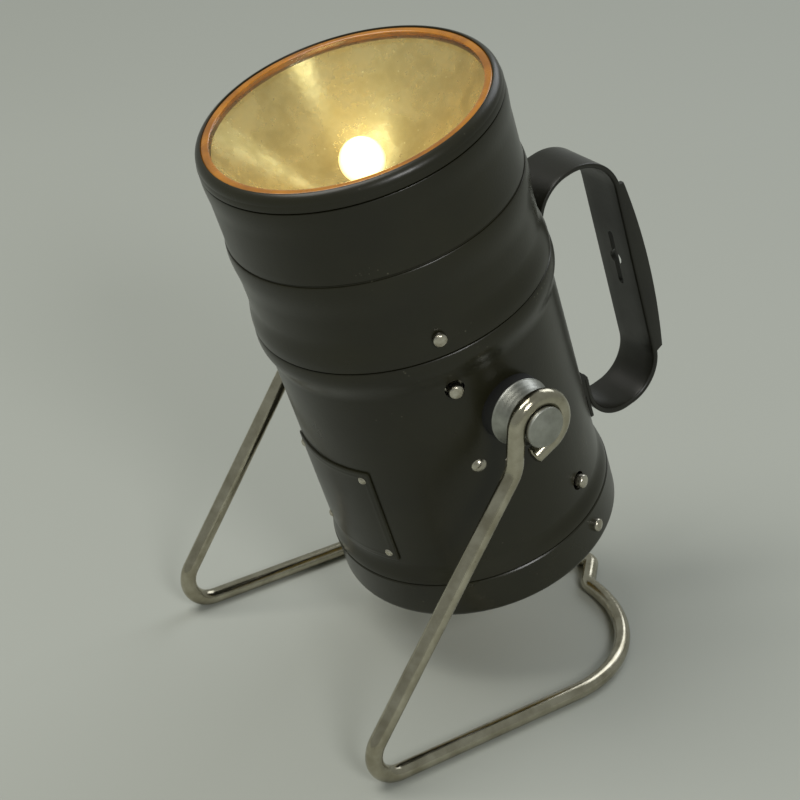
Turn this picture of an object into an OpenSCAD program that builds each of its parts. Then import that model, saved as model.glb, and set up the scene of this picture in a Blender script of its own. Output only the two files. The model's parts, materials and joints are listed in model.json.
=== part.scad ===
// Railway hand lamp: a drum-shaped battery lamp that tilts in a sprung wire
// stand, with a lift-off head and a lift-off bottom cap held by spring studs.
// The lamp is drawn upright about its own pivot and then tilted in the stand.
// Angles round the lamp start at the near pivot (+X) and grow towards the
// handle (+Y), and heights along the lamp start at the pivot.

/* [Lamp body] */
// Outer radius of the battery case
case_r = 49.8; // [48:0.1:54]
// Thickness of the sheet steel
sheet = 1.0; // [0.8:0.1:1.2]
// Height of the case's top edge above the pivot
case_top = 32.7; // [30:0.1:36]
// Depth of the case's bottom edge below the pivot
case_bottom = 63.4; // [60:0.1:68]
// Height of the bead at the case's top and of the flare at its bottom
bead_h = 8; // [6:0.1:10]
// How far the case's top bead stands out
bead_out = 1.6; // [1:0.1:3]
// Length of the head from its joint to the bezel
head_h = 61.2; // [58:0.1:66]
// Height of the bezel ring
bezel_h = 5.6; // [5:0.1:9]
// Depth of the bottom cap
cap_h = 16; // [14:0.1:20]
// How far a joint's locating collar reaches into the case
collar_h = 8; // [6:0.1:9]

/* [Lens and light] */
// How far the lens opening lies inside the case's outer radius
lens_inset = 4.8; // [4.6:0.1:8]
// Thickness of the lens glass
lens_t = 2.0; // [1.6:0.1:3]
// Focal length of the reflector's parabola
focus = 16; // [13:0.1:17]
// Radius of the bulb's globe
bulb_r = 7; // [6:0.1:8]
// Radius of the bulb's screw cap
bulb_cap_r = 4.8; // [4.5:0.1:5.5]

/* [Stand] */
// Diameter of the stand's wire
wire_d = 6; // [5:0.1:6.5]
// Height of the pivot above the floor
pivot_h = 120; // [116:0.5:140]
// Distance from the case's outer radius to each leg's centre line
leg_gap = 13.7; // [12.7:0.1:16]
// Lean of the legs from upright
leg_lean = 32.2; // [28:0.1:34]
// Bend radius of the two front corners
corner_r = 11; // [8:0.5:14]
// Bend radius of the rear corners
rear_r = 48.5; // [44:0.5:50]
// How far the rear bar lies behind the pivot
rear_y = 70.5; // [66:0.5:84]
// How steeply the hanging kink leaves the rear bar
kink_a = 45; // [35:1:50]
// Bend radius where the kink leaves the rear bar
kink_bend_r = 6; // [5:0.5:8]
// Bend radius of the kink's tip
kink_tip_r = 4; // [3.5:0.5:6]
// Tilt of the lamp, lens forwards
tilt = 18.4; // [10:0.1:30]

/* [Pivot] */
// Radius of the pivot stud's boss
boss_r = 11.7; // [11:0.1:13]
// Radius of the groove in which the wire eye turns
groove_r = 6.2; // [5.5:0.1:6.4]
// Radial clearance of the wire eye on the groove
eye_gap = 0.07; // [0.07:0.01:0.1]
// Radius of the pivot stud's head
pivot_head_r = 7.2; // [7:0.1:8]

/* [Handle] */
// Width of the handle strip
strip_w = 20.3; // [18:0.1:24]
// Thickness of the handle strip
strip_t = 2; // [1.8:0.1:2.4]
// Distance from the case to the inside of the grip
grip_reach = 36.2; // [34:0.1:40]
// Height of the top of the straight grip above the pivot
grip_top = 22; // [16:0.5:24]
// Depth of the bottom of the straight grip below the pivot
grip_bottom = 54; // [48:0.5:54]
// Outer bend radius at the top and bottom of the handle
handle_r = 16; // [14:0.5:18]
// Depth of the grip's folded flanges
flange_d = 7; // [5:0.5:9]
// Half width of the middle of the hanging slot
slot_r = 2.9; // [2.5:0.1:3.4]
// Half width of the ends of the hanging slot
slot_end_r = 1.3; // [1:0.1:1.6]
// Length of the hanging slot
slot_l = 24; // [20:0.5:30]

/* [Latches] */
// Angle of the head's latches in front of the pivot
head_latch_a = 19.6; // [18:0.1:24]
// Angle of the cap's latches behind the pivot
cap_latch_a = 22.2; // [18:0.1:24]
// Distance of the head's studs below the head joint
head_stud_drop = 14.9; // [13:0.1:16]
// Distance of the cap's studs above the cap joint
cap_stud_rise = 13.8; // [12.6:0.1:20]
// Radius of a latch stud
stud_r = 2.5; // [2.2:0.1:2.7]
// Radius of the hole that a latch stud snaps through
latch_hole_r = 3.4; // [3.2:0.1:3.8]
// How far a latch stud stands out of the case
stud_out = 2.6; // [2:0.1:3]
// Width of a latch leaf spring
leaf_w = 10; // [8:0.5:12]
// Thickness of a latch leaf spring
leaf_t = 0.6; // [0.5:0.1:0.8]

/* [Name plate] */
// Width of the name plate
plate_w = 41.2; // [34:0.1:44]
// Height of the name plate
plate_h = 41.6; // [38:0.1:42]
// Thickness of the name plate
plate_t = 0.8; // [0.6:0.1:1]
// Angle of the name plate's middle in front of the pivot
plate_a = 87.2; // [80:0.1:95]
// Depth of the name plate's middle below the pivot
plate_drop = 33.1; // [30:0.1:33.5]

/* [Battery and contacts] */
// Clearance between the battery's rounded corners and the case's bore
battery_gap = 4.6; // [2:0.1:8]
// Height of the battery's case
battery_h = 97; // [90:0.5:98]
// Corner radius of the battery
battery_corner_r = 6; // [4:0.5:8]
// Thickness of the felt pad under the battery
pad_t = 3; // [2:0.5:4]

/* [Hidden] */

$fn = 64;
eps = 0.01;
bead_steps = 8;

// Radii and heights that follow from the case
case_in_r = case_r - sheet;
lens_open_r = case_r - lens_inset;
leg_x = case_r + leg_gap;
grip_y = case_r + grip_reach;
battery_w = 2 * ((case_in_r - battery_gap - battery_corner_r) / sqrt(2) + battery_corner_r);
fit_gap = 0.3;
collar_r = case_in_r - fit_gap;
joint_gap = 0.3;
foot_out = 1.8;
head_r = case_r + 0.8;
flare_r = case_r + 2.0;
flare_h = 12;
head_z = case_top + joint_gap;
bezel_z = head_z + head_h + joint_gap;
bezel_r = case_r + 0.7;
bezel_edge_r = case_r + 1.2;
bezel_fall = 3.2;
rim_z = bezel_z + bezel_h;
head_bead_h = 6.8;
head_bead_out = 0.9;
line_groove = 0.7;
groove_drop = 0.6;
mid_line_h = 34.3;
mid_line_z = head_z + mid_line_h;
cap_z = -case_bottom - joint_gap;
cap_r = case_r + 2.1;
base_z = cap_z - cap_h;
base_edge_r = 2.5;

// Lens stack
lip_r = lens_open_r + 2.0;
lip_edge = 0.3;
bezel_in = bezel_r - lip_r - lip_edge;
bezel_round = (bezel_in * bezel_in + bezel_fall * bezel_fall) / (2 * bezel_in);
amber_sink = 0.2;
lens_sink = 0.7;
amber_top_z = rim_z - amber_sink;
lens_z = rim_z - lens_sink;
lens_r = lens_open_r + 1.5;
bedding_t = 0.4;
seat_z = lens_z - lens_t - bedding_t;
skirt_out_r = head_r - sheet - 0.05;
skirt_in_r = skirt_out_r - sheet;
skirt_h = 5;
reflector_t = 0.8;
reflector_rim_r = skirt_in_r - 0.15;
reflector_z = seat_z - lens_open_r * lens_open_r / (4 * focus);
reflector_hole_r = bulb_cap_r + 3.2;
ring_wire_r = 0.8;

// Bulb and its holder
bulb_z = reflector_z + focus - 0.5;
bulb_neck_z = bulb_z - bulb_r + 1.2;
bulb_cap_h = 11;
bulb_cap_z = bulb_neck_z - bulb_cap_h + 2;
holder_r = bulb_cap_r + 1.3;
holder_h = 10;
holder_z = bulb_cap_z - 1.5;
bracket_z = holder_z - 1.6;
bracket_w = 18;
bracket_t = 1.6;

// Contact disc in the mouth of the head
disc_z = head_z + 3.2;
disc_t = 2.4;
disc_r = case_in_r - 2.7;
bracket_reach = disc_r - 4;
contact_t = 1.0;
centre_contact_r = 11;
side_contact_in_r = 26;
side_contact_out_r = 38;

// Battery stack: felt pad on the cap, battery, and two coned terminal springs
pad_r = battery_w / 2;
pad_z = base_z + sheet;
battery_z = pad_z + pad_t;
battery_top = battery_z + battery_h;
spring_top_z = disc_z - contact_t;
spring_wire = 1.4;
spring_base_r = 8;
spring_tip_r = 4;
side_spring_r = 32;
spring_turns = 4;
spring_rings = 12;

// Battery guides: bent strips inside the case, one behind each domed rivet
guide_h = 60;
guide_z = -15.6;
guide_t = 1.0;
guide_w = 12;
guide_a = head_latch_a;
guide_head_r = 2.7;
guide_head_h = 1.4;
guide_hole_r = 1.6;

// Pivot studs
boss_x = case_r + 4.5;
boss_top_r = 9.2;
boss_top_x = leg_x - wire_d / 2 - 0.2;
pivot_head_x = leg_x + wire_d / 2 - 0.75;
pivot_head_t = 2.2;
pivot_tail_r = 4;
pivot_tail_x = case_in_r - 5;
nut_r = 9;
nut_t = 3.2;

// Stand geometry: eye, leg, corner, floor bar, rear corner and hanging kink
wire_r = wire_d / 2;
eye_r = groove_r + eye_gap + wire_r;
eye_tail_a = -59;
eye_tail_l = 7;
leg_bend_r = 12;
floor_z = wire_r;
leg_top_z = -eye_r / tan(leg_lean);
leg_drop = pivot_h - floor_z;
corner_y = -leg_drop * tan(leg_lean);
corner_a = 90 + leg_lean;
corner_back = corner_r * tan(corner_a / 2);
leg_bend_back = leg_bend_r * tan(leg_lean / 2);
rear_mid_x = leg_x - rear_r;
rear_mid_y = rear_y - rear_r;
kink_foot_x = rear_mid_x - kink_bend_r * sin(kink_a);
kink_foot_y = rear_y + kink_bend_r * (1 - cos(kink_a));
kink_run = (kink_foot_x - kink_tip_r * sin(kink_a)) / cos(kink_a);
kink_tip_y = kink_foot_y + kink_run * sin(kink_a) - kink_tip_r * cos(kink_a);

// Latch springs and studs
head_stud_z = case_top - head_stud_drop;
cap_stud_z = -case_bottom + cap_stud_rise;
leaf_x = collar_r - sheet - 0.8 - leaf_t;
head_rivet_z = head_z + 6.7;
cap_rivet_z = cap_z - 6.9;
leaf_end = 5;
rivet_r = 2.4;
rivet_h = 2.4;
rivet_shank_r = 1.5;
rivet_play = 0.4;
stud_flange_r = 3.6;
stud_flange_t = 0.6;
stud_travel = stud_out + 0.2;

// Handle rivets and name-plate rivets
handle_rivet_r = 1.6;
handle_rivet_x = 5.5;
handle_rivet_head_r = 3.0;
handle_rivet_head_h = 1.2;
back_y = case_r + 1.6;
pad_y = case_r + 2.6;
handle_pad_t = 1.2;
low_back_y = pad_y + handle_pad_t;
foot_top_z = 7;
foot_low_z = -grip_bottom + 8;
pad_low_z = -case_bottom + 0.2;
saddle_h = 12;
low_saddle_h = 7;
grip_top_r = handle_r + 3;
flange_bow_half = 60;
flange_mid_z = -20;
flange_top_z = 21;
flange_bow = (flange_bow_half * flange_bow_half + flange_d * flange_d) / (2 * flange_d);
plate_rivet_r = 0.9;
plate_rivet_head_r = 1.5;
plate_rivet_head_h = 0.8;
plate_rivet_a = 19.75;
plate_rivet_z = 17.2;
plate_corner_r = 1.2;

// Thumb switch on the back of the head
switch_z = mid_line_z - 14.9;
switch_w = 24;
switch_h = 14;
switch_t = 1.4;
switch_travel = 4;
switch_slot_w = 4;
switch_knob_w = 10;
switch_knob_h = 6;
switch_knob_t = 3.2;
switch_screw_r = 1.3;
switch_screw_a = 10;
contact_strip_w = 6;
contact_strip_l = 14;
contact_strip_t = 0.6;

// The origin stands under the middle of the whole lamp's box
front_y = -(rim_z - bezel_fall) * sin(tilt) - (bezel_r - bezel_round) * cos(tilt) - bezel_round;
flange_low_y = grip_y + flange_d - flange_bow + sqrt(flange_bow * flange_bow - pow(grip_bottom + flange_mid_z, 2));
handle_back_y = flange_low_y * cos(tilt) + grip_bottom * sin(tilt);
origin_y = -(handle_back_y + front_y) / 2;

function arc(cx, cy, r, a0, a1, n) = [for (i = [0:n]) [cx + r * cos(a0 + (a1 - a0) * i / n), cy + r * sin(a0 + (a1 - a0) * i / n)]];

// A swaged bead on a wall of radius r, from height z0 up, as [radius, height] points
function bead(r, z0, h, out) = [for (i = [0:bead_steps]) [r + out * sin(180 * i / bead_steps), z0 + h * i / bead_steps]];

// A foot that flares out softly towards height z0, as [radius, height] points
function foot(r, z0, h, out) = [for (i = [0:bead_steps]) [r + out * (1 + cos(180 * i / bead_steps)) / 2, z0 + h * i / bead_steps]];

function flip(points) = [for (i = [len(points) - 1:-1:0]) points[i]];

function thinner(points, t) = [for (p = points) [p[0] - t, p[1]]];

// Puts the upright lamp into the stand
module tilted() {
    translate([0, origin_y, pivot_h]) rotate([tilt, 0, 0]) children();
}

// Turns +Z outwards at angle a and height z of the lamp
module outwards(a, z) {
    translate([0, 0, z]) rotate([0, 0, a]) rotate([0, 90, 0]) children();
}

// A sheet ring from a list of outer points, of even thickness
module sheet_ring(points, t) {
    rotate_extrude($fn = 96) polygon(concat(points, flip(thinner(points, t))));
}

module tube(r_out, r_in, h) {
    difference() {
        cylinder(r = r_out, h = h);
        translate([0, 0, -eps]) cylinder(r = r_in, h = h + 2 * eps);
    }
}

// Faint swelling where a straight length of wire runs into a bend
module seam() {
    sphere(r = wire_r + 0.06);
}

// A straight length of wire along Z with a seam at its far end
module wire_run(length) {
    cylinder(r = wire_r, h = length);
    translate([0, 0, length]) seam();
}

// A bend of wire in the XY plane about the origin, from angle a0 to angle a1
module wire_bend(r, a0, a1) {
    rotate([0, 0, a0]) rotate_extrude(angle = a1 - a0, $fn = 96) translate([r, 0]) circle(r = wire_r);
    rotate([0, 0, a0]) translate([r, 0, 0]) rotate([90, 0, 0]) seam();
}

// The open wire eye with its straight cut tail, in the plane of the leg
module wire_eye() {
    rotate([90, 0, 90]) {
        wire_bend(eye_r, eye_tail_a, 180);
        rotate([0, 0, eye_tail_a]) translate([eye_r, 0, 0]) rotate([90, 0, 0]) cylinder(r = wire_r, h = eye_tail_l);
    }
    translate([0, -eye_r, 0]) seam();
}

// One bent leg from the eye to the rear corner of the floor bar, seen from the pivot
module stand_side() {
    leg_l = (leg_drop + leg_top_z) / cos(leg_lean) - leg_bend_back - corner_back;
    translate([leg_x, 0, 0]) {
        wire_eye();
        translate([0, -eye_r, 0]) mirror([0, 0, 1]) wire_run(-leg_top_z - leg_bend_back);
        translate([0, -eye_r - leg_bend_r, leg_top_z + leg_bend_back]) rotate([90, 0, 90])
            wire_bend(leg_bend_r, -leg_lean, 0);
        translate([0, -eye_r, leg_top_z]) rotate([-leg_lean, 0, 0]) mirror([0, 0, 1])
            translate([0, 0, leg_bend_back]) wire_run(leg_l);
        translate([0, corner_y + corner_back, corner_r - leg_drop]) rotate([90, 0, 90])
            wire_bend(corner_r, 180 - leg_lean, 270);
        translate([0, rear_mid_y, -leg_drop]) rotate([90, 0, 0])
            wire_run(rear_mid_y - corner_y - corner_back);
    }
    translate([rear_mid_x, rear_mid_y, -leg_drop]) wire_bend(rear_r, 0, 90);
}

// Half of the kink in the rear bar that hangs the lamp on a nail
module stand_kink() {
    translate([rear_mid_x, rear_y + kink_bend_r, -leg_drop]) wire_bend(kink_bend_r, -90 - kink_a, -90);
    translate([rear_mid_x, rear_y, -leg_drop]) rotate([0, 90, 0]) seam();
    translate([kink_foot_x, kink_foot_y, -leg_drop]) rotate([0, 0, 180 - kink_a]) rotate([0, 90, 0]) {
        seam();
        wire_run(kink_run);
    }
}

module stand() {
    color([0.62, 0.6, 0.52]) translate([0, origin_y, pivot_h]) {
        stand_side();
        mirror([1, 0, 0]) stand_side();
        stand_kink();
        mirror([1, 0, 0]) stand_kink();
        translate([0, kink_tip_y, -leg_drop]) wire_bend(kink_tip_r, 90 - kink_a, 90 + kink_a);
    }
}

case_points = concat(foot(case_r, -case_bottom, bead_h, foot_out), bead(case_r, case_top - bead_h, bead_h, bead_out));

module latch_holes(a, z) {
    for (side = [0, 180]) outwards(a + side, z) translate([0, 0, case_in_r - 3]) cylinder(r = latch_hole_r, h = 9);
}

module case_shell() {
    color([0.2, 0.2, 0.16]) tilted() difference() {
        sheet_ring(case_points, sheet);
        latch_holes(-head_latch_a, head_stud_z);
        latch_holes(cap_latch_a, cap_stud_z);
        for (side = [0, 180]) {
            outwards(side, 0) cylinder(r = pivot_tail_r, h = case_r + 5);
            outwards(side - guide_a, guide_z) cylinder(r = guide_hole_r, h = case_r + 5);
        }
        plate_rivet_places() translate([0, 0, case_in_r - 3]) cylinder(r = plate_rivet_r, h = 10);
        handle_rivet_holes();
    }
}

// Turned boss, groove and head of one pivot, saddled to the case
module pivot_stud() {
    rotate([0, 90, 0]) difference() {
        union() {
            translate([0, 0, pivot_tail_x]) cylinder(r = pivot_tail_r, h = case_r - pivot_tail_x + 2);
            translate([0, 0, case_r - 2]) cylinder(r = boss_r, h = boss_x - case_r + 2);
            translate([0, 0, boss_x]) cylinder(r1 = boss_r, r2 = boss_top_r, h = boss_top_x - boss_x);
            translate([0, 0, boss_top_x]) cylinder(r = groove_r, h = pivot_head_x - boss_top_x);
            translate([0, 0, pivot_head_x]) cylinder(r = pivot_head_r, h = pivot_head_t - 0.8);
            translate([0, 0, pivot_head_x + pivot_head_t - 0.8])
                cylinder(r1 = pivot_head_r, r2 = pivot_head_r - 2.5, h = 0.8);
        }
        difference() {
            translate([-boss_r - 1, -boss_r - 1, case_in_r - 4]) cube([2 * boss_r + 2, 2 * boss_r + 2, 8]);
            translate([0, 0, pivot_tail_x - 1]) cylinder(r = pivot_tail_r, h = 20);
            difference() {
                translate([-boss_r - 2, -boss_r - 2, case_in_r - 5]) cube([2 * boss_r + 4, 2 * boss_r + 4, 12]);
                translate([-case_r, 0, 0]) rotate([0, 90, 0]) cylinder(r = case_r, h = 2 * case_r, $fn = 96);
            }
        }
    }
}

module pivot_studs() {
    color([0.45, 0.46, 0.46]) tilted() {
        pivot_stud();
        mirror([1, 0, 0]) pivot_stud();
    }
}

// Hexagon nut and dished washer face that draw the pivot stud up inside the case
module pivot_nut() {
    rotate([0, 90, 0]) difference() {
        translate([0, 0, pivot_tail_x + 0.6]) union() {
            cylinder(r = nut_r, h = nut_t, $fn = 6);
            cylinder(r = nut_r, h = case_in_r - pivot_tail_x);
        }
        translate([0, 0, pivot_tail_x]) cylinder(r = pivot_tail_r, h = 20);
        difference() {
            translate([-2 * nut_r, -2 * nut_r, 0]) cube([4 * nut_r, 4 * nut_r, case_r + 5]);
            translate([-case_r, 0, 0]) rotate([0, 90, 0]) cylinder(r = case_in_r, h = 2 * case_r, $fn = 96);
        }
    }
}

module pivot_nuts() {
    color([0.6, 0.58, 0.45]) tilted() {
        pivot_nut();
        mirror([1, 0, 0]) pivot_nut();
    }
}

// Thin curved skin that follows the case, cut to a block of angle and height
module curved_strip(r, t, w, z0, h) {
    intersection() {
        translate([0, 0, z0]) tube(r + t, r, h);
        translate([0, -w / 2, z0]) cube([r + t + 5, w, h]);
    }
}

module battery_guides() {
    color([0.5, 0.48, 0.42]) tilted() for (side = [0, 180]) rotate([0, 0, side - guide_a]) difference() {
        union() {
            curved_strip(case_in_r - guide_t, guide_t, guide_w, guide_z - guide_h / 2 - 6, guide_h);
            for (y = [-1, 1]) translate([case_in_r - 3.4, y * (guide_w / 2 - guide_t / 2) - guide_t / 2, guide_z - guide_h / 2 - 6])
                cube([2.4, guide_t, guide_h]);
        }
        translate([0, 0, guide_z]) rotate([0, 90, 0]) cylinder(r = guide_hole_r, h = case_r);
    }
}

module guide_rivets() {
    color([0.5, 0.48, 0.4]) tilted() for (side = [0, 180]) outwards(side - guide_a, guide_z) {
        translate([0, 0, case_in_r - guide_t - 0.88]) cylinder(r = 2.4, h = 0.8);
        translate([0, 0, case_in_r - guide_t - 0.5]) cylinder(r = guide_hole_r, h = sheet + guide_t + 0.8);
        difference() {
            intersection() {
                translate([0, 0, case_r - 2.1]) sphere(r = 3.7);
                translate([0, 0, case_r - 0.5]) cylinder(r = guide_head_r + 1, h = 6);
            }
            rotate([0, -90, 0]) translate([0, 0, -20]) cylinder(r = case_r, h = 40, $fn = 96);
        }
    }
}

module plate_rivet_places() {
    for (a = [-1, 1], z = [-1, 1])
        outwards(-plate_a + a * plate_rivet_a, -plate_drop + z * plate_rivet_z) children();
}

// Bare curved name plate with rounded corners
module name_plate() {
    color([0.22, 0.22, 0.18]) tilted() difference() {
        translate([0, 0, -plate_drop]) rotate([0, 0, -plate_a]) intersection() {
            translate([0, 0, -plate_h / 2]) tube(case_r + plate_t, case_r, plate_h);
            rotate([0, 90, 0]) linear_extrude(height = case_r + 5) union() {
                square([plate_h - 2 * plate_corner_r, plate_w], center = true);
                square([plate_h, plate_w - 2 * plate_corner_r], center = true);
                for (x = [-1, 1], y = [-1, 1])
                    translate([x * (plate_h / 2 - plate_corner_r), y * (plate_w / 2 - plate_corner_r)]) circle(r = plate_corner_r);
            }
        }
        plate_rivet_places() translate([0, 0, case_in_r - 3]) cylinder(r = plate_rivet_r, h = 10);
    }
}

module name_plate_rivets() {
    color([0.35, 0.35, 0.3]) tilted() plate_rivet_places() {
        translate([0, 0, case_in_r]) cylinder(r = plate_rivet_r, h = sheet + plate_t + 0.2);
        translate([0, 0, case_r + plate_t + 0.05]) cylinder(r1 = plate_rivet_head_r, r2 = plate_rivet_head_r - 0.5, h = plate_rivet_head_h);
    }
}

// Outer and inner outlines of the bent strip in the lamp's upright middle plane, as [out, up]
handle_outer = concat(
    [[back_y, foot_top_z]],
    arc(back_y + handle_r, grip_top, handle_r, 180, 90, 12),
    arc(grip_y + strip_t - grip_top_r, grip_top + handle_r - grip_top_r, grip_top_r, 90, 0, 12),
    arc(grip_y + strip_t - handle_r, -grip_bottom, handle_r, 0, -90, 12),
    arc(low_back_y + handle_r, -grip_bottom, handle_r, -90, -180, 12),
    [[low_back_y, foot_low_z]]);

handle_inner = concat(
    [[low_back_y + strip_t, foot_low_z]],
    arc(low_back_y + handle_r, -grip_bottom, handle_r - strip_t, -180, -90, 12),
    arc(grip_y + strip_t - handle_r, -grip_bottom, handle_r - strip_t, -90, 0, 12),
    arc(grip_y + strip_t - grip_top_r, grip_top + handle_r - grip_top_r, grip_top_r - strip_t, 0, 90, 12),
    arc(back_y + handle_r, grip_top, handle_r - strip_t, 90, 180, 12),
    [[back_y + strip_t, foot_top_z]]);

// The bowed flange folded back from one edge of the grip, cut square at both ends
module grip_flange() {
    translate([strip_w / 2 - strip_t, 0, 0]) rotate([90, 0, 90]) linear_extrude(height = strip_t) intersection() {
        translate([grip_y + flange_d - flange_bow, flange_mid_z]) circle(r = flange_bow, $fn = 480);
        translate([grip_y + strip_t / 2, -grip_bottom]) square([flange_d * 2, grip_bottom + flange_top_z]);
    }
}

// Slot in the grip, widest in the middle, that hangs the lamp on a nail or a button
module hanging_slot() {
    mid = (grip_top - grip_bottom) / 2 + 2;
    translate([0, grip_y - 5, mid]) rotate([-90, 0, 0]) {
        cylinder(r = slot_r, h = 20);
        translate([-slot_end_r, -slot_l / 2 + slot_end_r, 0]) cube([2 * slot_end_r, slot_l - 2 * slot_end_r, 20]);
        for (y = [-1, 1]) translate([0, y * (slot_l / 2 - slot_end_r), 0]) cylinder(r = slot_end_r, h = 20);
    }
}

// Saddle between the round case and a flat foot, from height z0 up
module saddle(y, z0, h) {
    difference() {
        translate([-strip_w / 2, case_r - 3, z0]) cube([strip_w, y - case_r + 3, h]);
        translate([0, 0, z0 - 1]) cylinder(r = case_r, h = h + 2, $fn = 96);
    }
}

module handle_rivet_places() {
    for (x = [-1, 1]) {
        translate([x * handle_rivet_x, 0, foot_top_z + saddle_h / 2]) rotate([-90, 0, 0]) children(0);
        translate([x * handle_rivet_x, 0, foot_low_z - low_saddle_h / 2]) rotate([-90, 0, 0]) children(1);
    }
}

module handle_rivet_holes() {
    handle_rivet_places() {
        translate([0, 0, case_in_r - 5]) cylinder(r = handle_rivet_r, h = low_back_y + strip_t - case_in_r + 8);
        translate([0, 0, case_in_r - 5]) cylinder(r = handle_rivet_r, h = low_back_y + strip_t - case_in_r + 8);
    }
}

// Bent strip with its feet turned in along the case's back
module handle() {
    color([0.16, 0.16, 0.13]) tilted() difference() {
        union() {
            translate([-strip_w / 2, 0, 0]) rotate([90, 0, 90]) linear_extrude(height = strip_w)
                polygon(concat(handle_outer, handle_inner));
            saddle(back_y + eps, foot_top_z, saddle_h);
            grip_flange();
            mirror([1, 0, 0]) grip_flange();
        }
        hanging_slot();
        handle_rivet_holes();
    }
}

// Cranked pad that carries the lower foot clear of the bottom bead
module handle_pad() {
    color([0.18, 0.18, 0.15]) tilted() difference() {
        union() {
            translate([-strip_w / 2, pad_y, pad_low_z]) cube([strip_w, handle_pad_t, foot_low_z - pad_low_z]);
            saddle(pad_y + eps, foot_low_z - low_saddle_h, low_saddle_h);
        }
        handle_rivet_holes();
    }
}

// A rivet whose head stands on the face at distance y
module handle_rivet(y) {
    translate([0, 0, case_in_r + 0.6]) cylinder(r = handle_rivet_r, h = y - case_in_r - 0.5);
    translate([0, 0, y]) cylinder(r1 = handle_rivet_head_r, r2 = handle_rivet_head_r - 1, h = handle_rivet_head_h);
}

module handle_rivets() {
    color([0.2, 0.2, 0.17]) tilted() handle_rivet_places() {
        handle_rivet(back_y + strip_t);
        handle_rivet(low_back_y + strip_t);
    }
}

// Square battery with rounded corners and a raised terminal top
module battery() {
    side = battery_w / 2 - battery_corner_r;
    color([0.3, 0.3, 0.32]) tilted() translate([0, 0, battery_z]) union() {
        translate([-side, -battery_w / 2, 0]) cube([2 * side, battery_w, battery_h]);
        translate([-battery_w / 2, -side, 0]) cube([battery_w, 2 * side, battery_h]);
        for (x = [-1, 1], y = [-1, 1]) translate([x * side, y * side, 0]) cylinder(r = battery_corner_r, h = battery_h);
    }
}

// Coned terminal spring as stacked rising turns
function cone_spring_point(t, height) = [
    (spring_base_r + (spring_tip_r - spring_base_r) * t) * cos(360 * spring_turns * t),
    (spring_base_r + (spring_tip_r - spring_base_r) * t) * sin(360 * spring_turns * t),
    spring_wire / 2 + (height - spring_wire) * t];

module cone_spring(height) {
    n = spring_turns * spring_rings;
    sides = 6;
    points = [for (i = [0:n]) let (
        p = cone_spring_point(i / n, height),
        a = 360 * spring_turns * i / n)
        for (k = [0:sides - 1]) p + spring_wire / 2 * [cos(360 * k / sides) * cos(a), cos(360 * k / sides) * sin(a), sin(360 * k / sides)]];
    faces = concat(
        [[for (k = [0:sides - 1]) k]],
        [for (i = [0:n - 1], k = [0:sides - 1]) [i * sides + k, (i + 1) * sides + k, (i + 1) * sides + (k + 1) % sides]],
        [for (i = [0:n - 1], k = [0:sides - 1]) [i * sides + k, (i + 1) * sides + (k + 1) % sides, i * sides + (k + 1) % sides]],
        [[for (k = [sides - 1:-1:0]) n * sides + k]]);
    polyhedron(points, faces);
}

module battery_springs() {
    color([0.7, 0.6, 0.35]) tilted() for (x = [0, side_spring_r])
        rotate([0, 0, 45]) translate([x * 0.9, 0, battery_top + 0.05]) cone_spring(spring_top_z - battery_top - 0.1);
}

module battery_pad() {
    color([0.35, 0.33, 0.28]) tilted() translate([0, 0, pad_z]) cylinder(r = pad_r, h = pad_t);
}

head_outer = concat(
    [[flare_r, head_z], [flare_r, head_z + 2.4], [head_r, head_z + flare_h]],
    bead(head_r, mid_line_z - line_groove - head_bead_h, head_bead_h, head_bead_out),
    [[head_r - groove_drop, mid_line_z - line_groove], [head_r - groove_drop, mid_line_z], [head_r + 0.3, mid_line_z + eps]],
    bead(head_r, bezel_z - joint_gap - head_bead_h, head_bead_h, head_bead_out));

// Drawn steel head with a flared foot, two beads and a collar that enters the case
module head_shell() {
    color([0.2, 0.2, 0.16]) tilted() difference() {
        union() {
            sheet_ring(head_outer, sheet);
            translate([0, 0, head_z - collar_h]) tube(collar_r, collar_r - sheet, collar_h + 1.4);
            translate([0, 0, head_z + 0.2]) tube(flare_r - sheet / 2, collar_r - sheet / 2, 1.2);
        }
        for (side = [0, 180]) {
            outwards(side - head_latch_a, head_rivet_z) cylinder(r = rivet_shank_r, h = case_r + 8);
            rotate([0, 0, side - head_latch_a]) translate([leaf_x - 2, -leaf_w / 2 - 0.8, head_z - collar_h - 1])
                cube([collar_r - leaf_x + 2.15, leaf_w + 1.6, collar_h + 0.4]);
        }
        outwards(90, switch_z) translate([-(switch_travel + switch_slot_w) / 2 - 1, -switch_slot_w / 2 - 0.3, case_in_r - 6])
            cube([switch_travel + switch_slot_w + 2, switch_slot_w + 0.6, 14]);
        for (a = [-1, 1]) outwards(90 + a * switch_screw_a, switch_z) cylinder(r = switch_screw_r, h = case_r + 8);
    }
}

module head_gasket() {
    color([0.08, 0.08, 0.08]) tilted() translate([0, 0, case_top]) tube(case_r - 0.1, collar_r + 0.05, joint_gap);
}

bezel_points = concat(
    [[bezel_edge_r, bezel_z], [bezel_edge_r, bezel_z + 1.4], [bezel_r, bezel_z + 2.2]],
    arc(bezel_r - bezel_round, rim_z - bezel_fall, bezel_round, 0, asin(bezel_fall / bezel_round), 6),
    [[lip_r, rim_z - lip_edge], [lip_r, seat_z], [skirt_in_r, seat_z],
     [skirt_in_r, bezel_z - skirt_h], [skirt_out_r, bezel_z - skirt_h], [skirt_out_r, bezel_z]]);

module bezel() {
    color([0.2, 0.2, 0.17]) tilted() rotate_extrude($fn = 96) polygon(bezel_points);
}

module lens() {
    color([0.9, 0.95, 0.95, 0.35]) tilted() translate([0, 0, lens_z - lens_t]) cylinder(r = lens_r, h = lens_t);
}

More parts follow.
